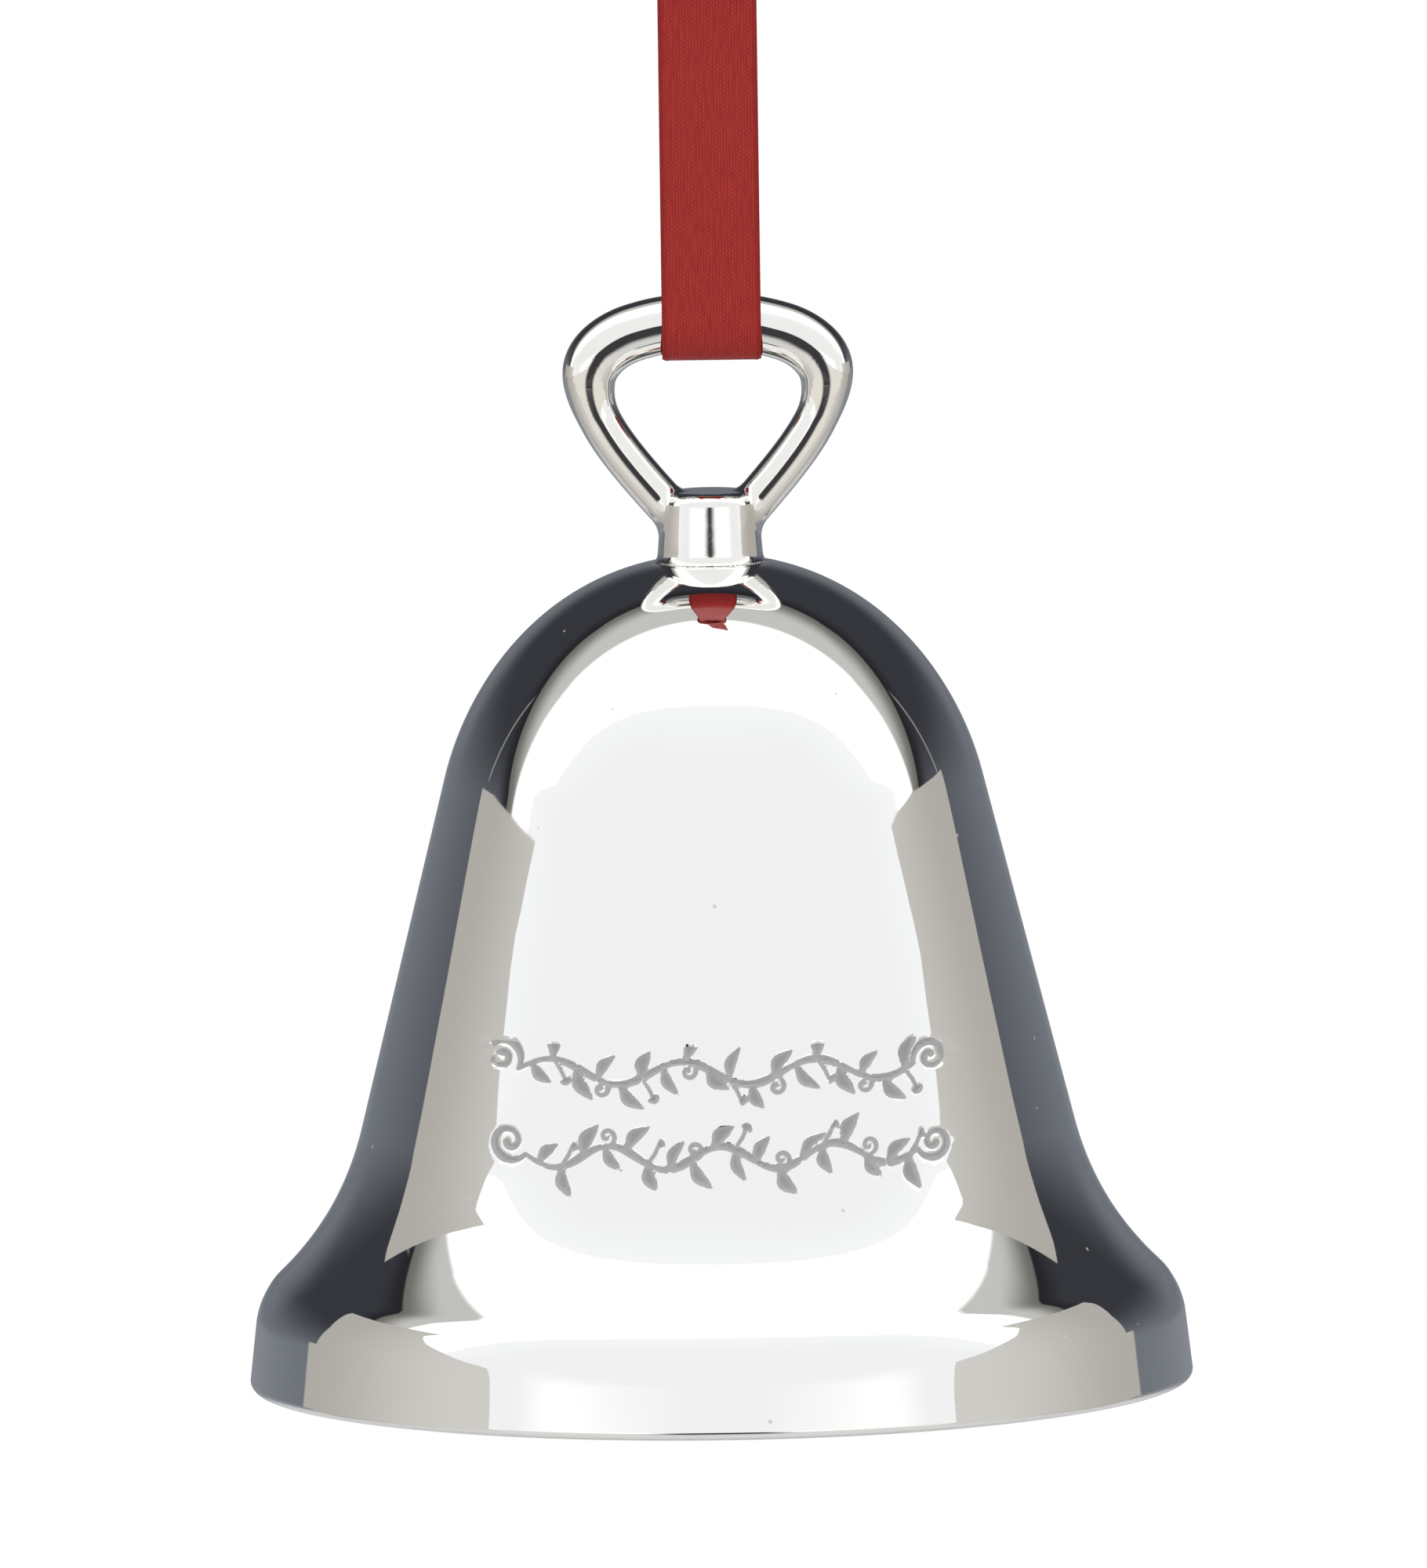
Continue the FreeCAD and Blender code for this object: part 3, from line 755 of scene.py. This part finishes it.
def leaf(x, z, way, long, fat):
    """A leaf: a stroke that swells and comes to a point, with a slight bend."""
    bend = way + radians(16) * (1 if way > 0 else -1)
    middle = (x + long * 0.5 * cos(bend), z + long * 0.5 * sin(bend))
    tip = (x + long * cos(way), z + long * sin(way))
    return stroke([(x, z), middle, tip], [0.06, 0.6 * fat, fat, 0.92 * fat, 0.55 * fat, 0.03])


print("a leaf 2 mm long has", len(leaf(0, 0, radians(50), 2.0, 0.4)), "marks")

# %% [markdown]
# ### The two sprays
# Each spray is a waving stem. Leaves stand on it in turn above and below, with a berry or a
# tendril after every other one, and a curl closes each end.

# %% The two sprays
SWAY, LEAF_STEP = 0.75, 1.42  # height of the stem's waves and distance between leaves, in mm


def spray(base, left, right, hand, waves):
    """One line of the ornament: a waving stem with leaves, berries, tendrils and end curls."""
    reach = right - left
    height = lambda x: base + SWAY * hand * sin((x - left) / reach * waves * 2 * pi)
    swells = [0.10] + [0.14, 0.24] * int(2 * waves) + [0.10]
    marks = [stroke([(x, height(x)) for x in np.linspace(left, right, 90)], swells)]
    count = int(reach / LEAF_STEP)
    for k in range(count):
        x = left + reach * (k + 0.6) / count
        side = hand * (1 if k % 2 else -1)
        long = 1.75 + 0.55 * ((k * 7) % 5) / 4
        way = side * radians(44 + 9 * ((k * 3) % 4))
        marks.append(leaf(x, height(x), way, long, 0.34 + 0.05 * (k % 3)))
        if k % 4 == 1:
            berry_x, berry_z = x + 0.75, height(x) - side * 1.25
            marks.append(stroke([(x, height(x)), (x + 0.5, height(x) - side * 0.7), (berry_x, berry_z)],
                                [0.07, 0.10, 0.09]))
            marks.append(stroke([(berry_x, berry_z), (berry_x + 0.02, berry_z)], [0.36, 0.36]))
        if k % 4 == 3:
            marks.append(stroke(curl(x + 0.2, height(x), 0.62, -side, side * 0.5 * pi, 1.1),
                                [0.07, 0.12, 0.10, 0.10]))
    marks.append(stroke(curl(left, height(left), 1.30, hand, -0.2 * pi), [0.10, 0.24, 0.18, 0.12, 0.20]))
    marks.append(stroke(curl(right, height(right), 1.15, -hand, 1.1 * pi), [0.10, 0.22, 0.17, 0.12, 0.19]))
    return marks


marks = spray(23.0, -13.0, 12.8, 1, 3.0) + spray(17.6, -12.6, 13.0, -1, 3.5)
sheet = np.concatenate(marks)
drawing = as_mesh("engraving_drawing", [(x * MM, 0, (z - HANG) * MM) for x, z, _ in sheet], [])
attribute = drawing.data.attributes.new("half_width", "FLOAT", "POINT")
attribute.data.foreach_set("value", sheet[:, 2].astype(np.float32) * MM)
print("engraving:", len(marks), "strokes,", len(sheet), "marks")

# %% [markdown]
# ## Spinning the shell
# A lathe is a rule, so Geometry Nodes make the shell: a grid whose rows read the outline and
# whose columns turn round the axis. A second step in the same tree measures how far each
# point is from the drawing's marks and sinks it into the metal. Columns are close together
# in front, where the engraving is, and wider behind. Modelling the grooves by hand, or
# painting them as bump alone, would lose the cut edge that catches the light.

# %% The lathe tree
outline_object = as_mesh("shell_outline", [(r * MM, 0, (z - HANG) * MM) for r, z in outline_mm], [])
tree = bpy.data.node_groups.new("spin_and_engrave", "GeometryNodeTree")
SOCKETS = (("Outline", "NodeSocketObject", outline_object), ("Drawing", "NodeSocketObject", drawing),
           ("Rows", "NodeSocketInt", len(outline_mm)), ("Columns", "NodeSocketInt", 301),
           ("Engraved half angle", "NodeSocketFloat", radians(41)),
           ("Engraved share", "NodeSocketFloat", 0.63),
           ("Groove depth", "NodeSocketFloat", 0.11 * MM),
           ("Finish", "NodeSocketMaterial", None))
tree.interface.new_socket("Geometry", in_out="OUTPUT", socket_type="NodeSocketGeometry")
made_sockets = {name: tree.interface.new_socket(name, in_out="INPUT", socket_type=kind)
                for name, kind, _ in SOCKETS}
lathe = Bench(tree)
given = lathe.add("NodeGroupInput")


def drawn_as(name):
    """The points of the object that a socket names."""
    return lathe.add("GeometryNodeObjectInfo", {"transform_space": "ORIGINAL"}, {0: given[name]})["Geometry"]


def looked_up(kind, points, value, index):
    """What value says at the point with that number."""
    return lathe.add("GeometryNodeSampleIndex", {"data_type": kind, "domain": "POINT"},
                     {0: points, "Value": value, "Index": index})[0]


def worked(shell, kind, **sockets):
    """The shell after one step of work."""
    named = {name.replace("_", " "): value for name, value in sockets.items()}
    return lathe.add(f"GeometryNode{kind}", None, {"Geometry": shell, **named})[0]


grid = lathe.add("GeometryNodeMeshGrid", None, {"Size X": 1.0, "Size Y": 1.0,
                 "Vertices X": given["Rows"], "Vertices Y": given["Columns"]})["Mesh"]
position = lathe.add("GeometryNodeInputPosition")[0]
cell = lathe.split(position)
row = ((cell["X"] + 0.5) * (given["Rows"] - 1.0) + 0.25).maths("FLOOR")
on_line = lathe.split(looked_up("FLOAT_VECTOR", drawn_as("Outline"), position, row))
sweep = cell["Y"] * 2.0
dense = given["Engraved half angle"] / given["Engraved share"]
sparse = (pi - given["Engraved half angle"]) / (1.0 - given["Engraved share"])
angle = (abs(sweep) * dense).most(given["Engraved half angle"]
                                  + (abs(sweep) - given["Engraved share"]) * sparse)
angle = angle * sweep.maths("SIGN")
spun = lathe.add("ShaderNodeCombineXYZ", None, {0: on_line["X"] * angle.maths("SINE"),
                 1: -(on_line["X"] * angle.maths("COSINE")), 2: on_line["Z"]})[0]
shell = worked(worked(grid, "SetPosition", Position=spun), "MergeByDistance", Distance=0.001 * MM)
print("nodes that spin the shell:", len(tree.nodes))

# %% [markdown]
# ### The engraving step
# Every point of the front looks up the nearest mark of the drawing, straight through the
# sheet, and sinks if it lies within that mark's half-width. The distance past the edge is kept
# as an attribute, so that the silver can be matt exactly where it is cut.

# %% The engraving step
here = lathe.split(position)
on_sheet = lathe.add("ShaderNodeCombineXYZ", None, {0: here["X"], 1: 0.0, 2: here["Z"]})[0]
ink_marks = drawn_as("Drawing")
near = lathe.add("GeometryNodeProximity", {"target_element": "POINTS"},
                 {"Target": ink_marks, "Source Position": on_sheet})["Distance"]
nearest = lathe.add("GeometryNodeSampleNearest", {"domain": "POINT"}, {0: ink_marks, 1: on_sheet})[0]
named = lathe.add("GeometryNodeInputNamedAttribute", {"data_type": "FLOAT"}, {0: "half_width"})[0]
half = looked_up("FLOAT", ink_marks, named, nearest)
span = (here["X"] * here["X"] + here["Y"] * here["Y"]).maths("SQRT")
INNER_REACH, SHEET_TOP, SHEET_BACK = 21.5 * MM, -60.0 * MM, -10.0 * MM
outer_wall = (span > INNER_REACH) * (here["Z"] < SHEET_TOP) * (here["Y"] < SHEET_BACK)
beside = (near - half) * outer_wall + (1.0 - outer_wall) * (1.0 * MM)
depth = (-beside * 0.9).most(0.0).least(given["Groove depth"])
normal = lathe.add("GeometryNodeInputNormal")[0]
push = lathe.add("ShaderNodeVectorMath", {"operation": "SCALE"}, {0: normal, "Scale": depth})[0]
shell = lathe.add("GeometryNodeStoreNamedAttribute", {"data_type": "FLOAT", "domain": "POINT"},
                  {"Geometry": shell, "Name": "beside_groove", "Value": beside / MM})[0]
shell = worked(worked(shell, "SetPosition", Offset=push), "SetShadeSmooth", Shade_Smooth=True)
shell = worked(worked(shell, "RealizeInstances"), "SetMaterial", Material=given["Finish"])
lathe.add("NodeGroupOutput", None, {0: shell})
print("with the engraving:", len(tree.nodes), "nodes")

# %% [markdown]
# ## Silver finish
# Polished silver plate is nearly a perfect mirror with a slightly warm white. What makes it
# metal and not chrome paint is small: hair scratches from the polishing cloth, dust, a
# faint bloom of tarnish, and inside the bell the rings that the spinning tool left. The cut
# grooves are matt and grey, because the graver leaves them unpolished. Their deepest part is
# painted darker still, which is painted shade inside the cut.

# %% Silver material
silver, bench, shader = finish("bell_silver")
place = bench.object_place()
beside = bench.add("ShaderNodeAttribute", {"attribute_name": "beside_groove"})["Fac"]
groove = beside.step(0.085, 0.010)
# painted shade: the deep middle of each groove is darkened in colour
painted_groove_shade = beside.step(-0.08, -0.30)
wall_inside = bench.add("ShaderNodeAttribute", {"attribute_name": "inside"})["Fac"]
bloom = bench.noise(place, 60.0, 4.0)
dust = bench.add("ShaderNodeTexVoronoi", None, {"Vector": place, "Scale": 620.0})
speck = dust["Distance"].step(0.10, 0.05) * (bench.split(dust["Color"])["X"] > 0.90)
hair = bench.noise(bench.stretch(place, (900.0, 900.0, 9000.0)), 1.0, 2.0)
RING_PITCH = 0.45 * MM
rings = ((bench.split(place)["Z"] * (2 * pi / RING_PITCH) + bloom * 5.0).maths("SINE") + 1.0) * 0.5
colour = bench.blend(bloom.step(0.45, 0.85) * 0.35, (0.955, 0.950, 0.935), (0.905, 0.890, 0.860))
colour = bench.blend(wall_inside * (0.25 + rings * 0.3), colour, (0.62, 0.61, 0.59))
colour = bench.blend(groove, colour, (0.46, 0.46, 0.46))
# painted shade in the grooves: their deep middle is painted a darker grey
colour = bench.blend(groove * painted_groove_shade * 0.75, colour, (0.34, 0.34, 0.345))
colour = bench.blend(speck, colour, (0.72, 0.71, 0.69))
rough = (hair.step(0.55, 0.9) * 0.02 + bloom.step(0.4, 0.8) * 0.012 + 0.022
         + wall_inside * (0.20 + rings * 0.10) + groove * 0.50 + speck * 0.25)
relief = bench.bump(0.12, 0.02 * MM, hair * 0.03 + wall_inside * rings * 1.0 + groove * hair * 0.6)
bench.drive(shader, {"Base Color": colour, "Roughness": rough, "Normal": relief,
                     "Metallic": 1.0 - (groove * 0.55).most(speck * 0.7)})
print("silver nodes:", len(silver.node_tree.nodes))

# %% [markdown]
# ### The spun shell
# The tree is run once and its mesh kept. Points that lie well inside the outer line are marked
# as the hollow, which the silver shows duller and ringed.

# %% The spun shell
def settled(piece, modifier):
    """Gives a piece the mesh that its modifier makes, and removes the modifier."""
    bpy.context.view_layer.update()
    evaluated = piece.evaluated_get(bpy.context.evaluated_depsgraph_get())
    made = bpy.data.meshes.new_from_object(evaluated)
    piece.modifiers.remove(modifier)
    piece.data = made


shell = as_mesh("bell_shell_spun", [(0, 0, 0)], [])
spin = shell.modifiers.new("spin", "NODES")
spin.node_group = tree
for name, kind, value in SOCKETS:
    spin[made_sockets[name].identifier] = silver if name == "Finish" else value
settled(shell, spin)


def set_outwards(piece):
    """Makes a closed mesh's faces point outwards. Returns its volume in mm3 and its open edges."""
    form = bmesh.new()
    form.from_mesh(piece.data)
    bmesh.ops.recalc_face_normals(form, faces=form.faces)
    volume = form.calc_volume(signed=True)
    if volume < 0:
        bmesh.ops.reverse_faces(form, faces=form.faces)
    loose = sum(not edge.is_manifold for edge in form.edges)
    form.to_mesh(piece.data)
    form.free()
    return abs(volume) / MM ** 3, loose


def points_of(mesh):
    """A mesh's points, one in each row."""
    found = np.empty(len(mesh.vertices) * 3)
    mesh.vertices.foreach_get("co", found)
    return found.reshape(-1, 3)


volume, open_edges = set_outwards(shell)
where = points_of(shell.data)
span = np.hypot(where[:, 0], where[:, 1]) / MM
level = where[:, 2] / MM + HANG
outer = outline_mm[:int(np.argmax(outline_mm[:, 1] >= CROWN[1] - 1e-6)) + 1]
skin = np.interp(level, outer[:, 1], outer[:, 0])
hollow = ((span < skin - 0.5) & (level > 0.2) & (level < 53.5)).astype(np.float32)
shell.data.attributes.new("inside", "FLOAT", "POINT").data.foreach_set("value", hollow)
shell.data.set_sharp_from_angle(angle=radians(32))
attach(shell, "bell")
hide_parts("bell_shell")
print("shell:", len(shell.data.polygons), "faces,", round(volume), "mm3, open edges", open_edges)
for helper in (outline_object, drawing):
    bpy.data.objects.remove(helper)

# %% [markdown]
# ## The cast handle
# The handle is one casting: a turned neck with a soft heart-shaped loop of round rod on top,
# thicker along the bar and thinner down the legs. Under a mirror finish the eye sees every
# facet and every abrupt crease, so the shape is given as a formula, the distance from any
# point to the metal, with the rod and the neck melted together. A voxel skin gives an even
# net of points, and each point is then moved until the formula says it lies on the surface.

# %% The handle's middle line and outline
SEAT, NECK_TOP, NECK_RADIUS, NECK_TAPER, NECK_FOOT = 54.25, 58.9, 3.2, 0.25, 3.75
FOOT_ROUND, TOP_ROUND = 0.6, 0.9
LEG_END, LOOP_SIDE, BAR_END, BAR_TOP = (2.4, 57.5), (7.79, 66.35), (4.75, 69.42), (0, 70.02)
LEG_SLOPE, BAR_SLOPE, LEG_ROOT = 41.5, 16.2, 1.6
LEG_RADIUS, BAR_RADIUS, MELT = 1.38, 1.9, 0.55
SWELL_FROM, SWELL_TO = 63.39, 68.22  # heights between which the rod thickens

root = spot(*LEG_END) - LEG_ROOT * spot(sin(radians(LEG_SLOPE)), cos(radians(LEG_SLOPE)))
half_loop = [root] + straight(root, LEG_END, 6)
half_loop += bow(LEG_END, -LEG_SLOPE, 0.50, LOOP_SIDE, 0, 0.25, 50)
half_loop += bow(LOOP_SIDE, 0, 0.36, BAR_END, 90 - BAR_SLOPE, 0.36, 30)
half_loop += bow(BAR_END, 90 - BAR_SLOPE, 0.30, BAR_TOP, 90, 0.50, 24)
half_loop = np.array(half_loop)
loop_line = np.concatenate([half_loop, half_loop[-2::-1] * np.array([-1, 1])])
swell = np.clip((loop_line[:, 1] - SWELL_FROM) / (SWELL_TO - SWELL_FROM), 0, 1)
rod_radii = LEG_RADIUS + (BAR_RADIUS - LEG_RADIUS) * swell ** 2 * (3 - 2 * swell)

straight_neck = NECK_TOP - SEAT - FOOT_ROUND - TOP_ROUND
taper = math.degrees(math.atan2(NECK_TAPER, straight_neck))
neck_line = [spot(0, SEAT), spot(NECK_FOOT, SEAT)]
over_foot = spot(NECK_RADIUS + NECK_TAPER, SEAT + FOOT_ROUND)
neck_line += bow(neck_line[-1], 60, 0.35, over_foot, taper, 0.45, 12)
neck_line += [spot(NECK_RADIUS, NECK_TOP - TOP_ROUND)]
neck_line += bow(neck_line[-1], 0, 0.39, (NECK_RADIUS - TOP_ROUND, NECK_TOP), 90, 0.39, 10)
neck_line = np.array(neck_line + [spot(0, NECK_TOP)])
print("loop line", len(loop_line), "points, neck outline", len(neck_line), "points")

# %% [markdown]
# ### The distance to the metal
# A point's distance to the rod is that to the nearest of its short straight bits, less the
# rod's radius there. The neck is measured in its turned outline. Where both are about as
# near, a soft minimum rounds the crease between them, like the fillet of a casting.

# %% The distance to the metal
def beside_bit(points, start, way):
    """The nearest place on a straight bit, as a share of it, and the steps from there to points."""
    rel = points - start
    share = np.clip(rel @ way / (way @ way), 0, 1)
    return share, rel - share[:, None] * way


def to_rod(points):
    """Distance in mm from points to the rod's skin."""
    best = np.full(len(points), 1e9)
    for start, way, r0, r1 in zip(loop_line, np.diff(loop_line, axis=0), rod_radii, rod_radii[1:]):
        share, gap = beside_bit(points[:, [0, 2]], start, way)
        distance = np.sqrt((gap ** 2).sum(1) + points[:, 1] ** 2) - (r0 + (r1 - r0) * share)
        best = np.minimum(best, distance)
    return best


def to_neck(points):
    """Distance in mm from points to the neck's skin, below zero inside."""
    flat = np.stack([np.hypot(points[:, 0], points[:, 1]), points[:, 2]], axis=1)
    best, inside = np.full(len(points), 1e9), np.zeros(len(points), bool)
    for k, start in enumerate(neck_line):
        end = neck_line[(k + 1) % len(neck_line)]
        way = end - start
        if k < len(neck_line) - 1:
            best = np.minimum(best, np.linalg.norm(beside_bit(flat, start, way)[1], axis=1))
        if start[1] != end[1]:
            crosses = (start[1] > flat[:, 1]) != (end[1] > flat[:, 1])
            edge = start[0] + (flat[:, 1] - start[1]) * way[0] / way[1]
            inside ^= crosses & (flat[:, 0] < edge)
    return np.where(inside, -best, best)


def to_handle(points):
    """The rod and the neck melted into each other."""
    rod, neck = to_rod(points), to_neck(points)
    share = np.clip(0.5 + 0.5 * (neck - rod) / MELT, 0, 1)
    return neck * (1 - share) + rod * share - MELT * share * (1 - share)


def slope_of(distance, points, reach=0.01):
    """The direction in which a distance grows fastest, by small steps."""
    sides = [distance(points + np.eye(3)[k] * reach) - distance(points - np.eye(3)[k] * reach)
             for k in range(3)]
    made = np.stack(sides, axis=1)
    return made / np.maximum(np.linalg.norm(made, axis=1), 1e-9)[:, None]


bar_skin = np.array([[0, 0, BAR_TOP[1] + BAR_RADIUS]])
print("off the bar's top by", round(float(to_handle(bar_skin)[0]), 3), "mm")

# %% [markdown]
# ### A rough handle
# The neck and the rod are first made as plain closed tubes, and a voxel net is laid over both,
# which joins them where they cross. Rings alone would leave a hard seam there.

# %% A rough handle
VOXEL = 0.15


def capped(points, sides):
    """The faces of rings that lie one after another, with both ends closed."""
    last = len(points) - sides
    ends = [tuple(range(sides))[::-1], tuple(range(last, last + sides))]
    return lattice(len(points) // sides, sides) + ends


def ring_tube(line_points, radii, sides=28):
    """Rings along a line in the upright plane, closed at both ends."""
    heading = unit(np.gradient(line_points, axis=0))
    points = [(p[0] + r * cos(a) * h[1], r * sin(a), p[1] - r * cos(a) * h[0])
              for p, h, r in zip(line_points, heading, radii) for a in np.arange(sides) * 2 * pi / sides]
    return points, capped(points, sides)


def turned(line_points, sides=64):
    """An outline turned round the axis, with a point at each end."""
    points = [(max(r, 1e-4) * cos(a), max(r, 1e-4) * sin(a), z)
              for r, z in line_points for a in np.arange(sides) * 2 * pi / sides]
    return points, capped(points, sides)


points, faces = ring_tube(loop_line, rod_radii)
more_points, more_faces = turned(neck_line)
faces += [tuple(v + len(points) for v in face) for face in more_faces]
handle = as_mesh("handle_cast", points + more_points, faces)
set_outwards(handle)
skin = handle.modifiers.new("skin", "REMESH")
skin.mode, skin.voxel_size = "VOXEL", VOXEL
settled(handle, skin)
handle_mesh = handle.data
print("rough net:", len(handle_mesh.vertices), "points")

# %% [markdown]
# ### The handle's skin
# Each round evens out the net and then moves every point along the formula's slope on to the
# surface. The slope is also the surface's own direction, and is stored as the shading normal.

# %% The handle's skin
net = points_of(handle_mesh)
edges = np.empty(len(handle_mesh.edges) * 2, int)
handle_mesh.edges.foreach_get("vertices", edges)
edges = edges.reshape(-1, 2)
count = np.bincount(edges.ravel(), minlength=len(net))[:, None]
for step in range(5):
    total = np.zeros_like(net)
    np.add.at(total, edges[:, 0], net[edges[:, 1]])
    np.add.at(total, edges[:, 1], net[edges[:, 0]])
    net += (total / count - net) * (0.5 if step < 4 else 0.0)
    for _ in range(2):
        net -= slope_of(to_handle, net) * to_handle(net)[:, None]
foot = net[:, 2] < SEAT + 0.02
net[foot, 2] = SEAT
facing = slope_of(to_handle, net, 0.03)
facing[foot & (np.hypot(net[:, 0], net[:, 1]) < NECK_FOOT - 0.05)] = (0, 0, -1)
off = np.abs(to_handle(net)).max()
net[:, 2] -= HANG
handle_mesh.vertices.foreach_set("co", (net * MM).ravel())
handle_mesh.update()
handle_mesh.shade_smooth()
handle_mesh.normals_split_custom_set_from_vertices(facing)
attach(handle, "bell")
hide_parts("handle")
print("handle:", len(handle_mesh.polygons), "faces, furthest off", round(float(off), 4), "mm")

# %% [markdown]
# ## Plated and turned metals
# The small parts are not silver. The loop is silver over a casting, so its skin is a little
# wavy. The wire parts are nickel-plated steel, satin from drawing; the washer is stamped
# brass, and the clapper's ball is turned brass that has kept its tool marks. One recipe
# serves them all: a tint, a duller tint in patches, a roughness, and a fine relief.

# %% A recipe for metals
def metal(name, tint, dull_tint, rough, patches, wave=(0.0, 1.0), rings=0.0):
    """A metal with dull patches, a slow wave in its skin (height, scale) and tool rings in mm."""
    made, bench, shader = finish(name)
    place = bench.object_place()
    cloud, fine = bench.noise(place, 320.0, 5.0), bench.noise(place, 5200.0, 2.0)
    slow = bench.noise(place, wave[1], 1.0)
    worn = cloud.step(0.42, 0.80) * patches
    colour = bench.blend(worn, tint, dull_tint)
    uneven = worn * 0.18 + fine.step(0.45, 0.8) * 0.05 + rough
    height = slow * wave[0] + fine * 0.0002
    if rings:
        tool = (bench.split(place)["Z"] * (2 * pi / (rings * MM)) + cloud * 3.0).maths("SINE")
        height = height + tool * 0.004
        uneven = uneven + abs(tool) * 0.05
        colour = bench.blend(abs(tool) * 0.12, colour, dull_tint)
    bench.drive(shader, {"Base Color": colour, "Roughness": uneven, "Metallic": 1.0,
                         "Normal": bench.bump(1.0, 1.0 * MM, height)})
    return made


cast_silver = metal("handle_silver", (0.93, 0.915, 0.885), (0.80, 0.77, 0.71), 0.035, 0.35,
                    wave=(0.012, 420.0))
nickel_wire = metal("nickel_wire", (0.78, 0.76, 0.72), (0.52, 0.49, 0.44), 0.17, 0.7,
                    wave=(0.01, 900.0))
brass_plate = metal("washer_brass", (0.83, 0.62, 0.30), (0.48, 0.33, 0.15), 0.27, 0.8)
bright_rod = metal("clapper_rod_nickel", (0.80, 0.78, 0.75), (0.50, 0.47, 0.43), 0.14, 0.6)
turned_brass = metal("clapper_ball_brass", (0.86, 0.65, 0.32), (0.52, 0.37, 0.17), 0.20, 0.6, rings=0.32)
coat(handle, cast_silver)
FINISHES = {"eye_bolt": nickel_wire, "lock_nut": nickel_wire, "clapper_link": nickel_wire,
            "crown_washer": brass_plate, "clapper_rod": bright_rod, "clapper_ball": turned_brass}
for node, finish_made in FINISHES.items():
    for held in nodes[node].material_slots:
        held.material = finish_made
print("metals on", [node for node in nodes if not nodes[node].hide_render])

# %% [markdown]
# ## Sizes
# The view layer is brought up to date at the end.

# %% Sizes
bpy.context.view_layer.update()
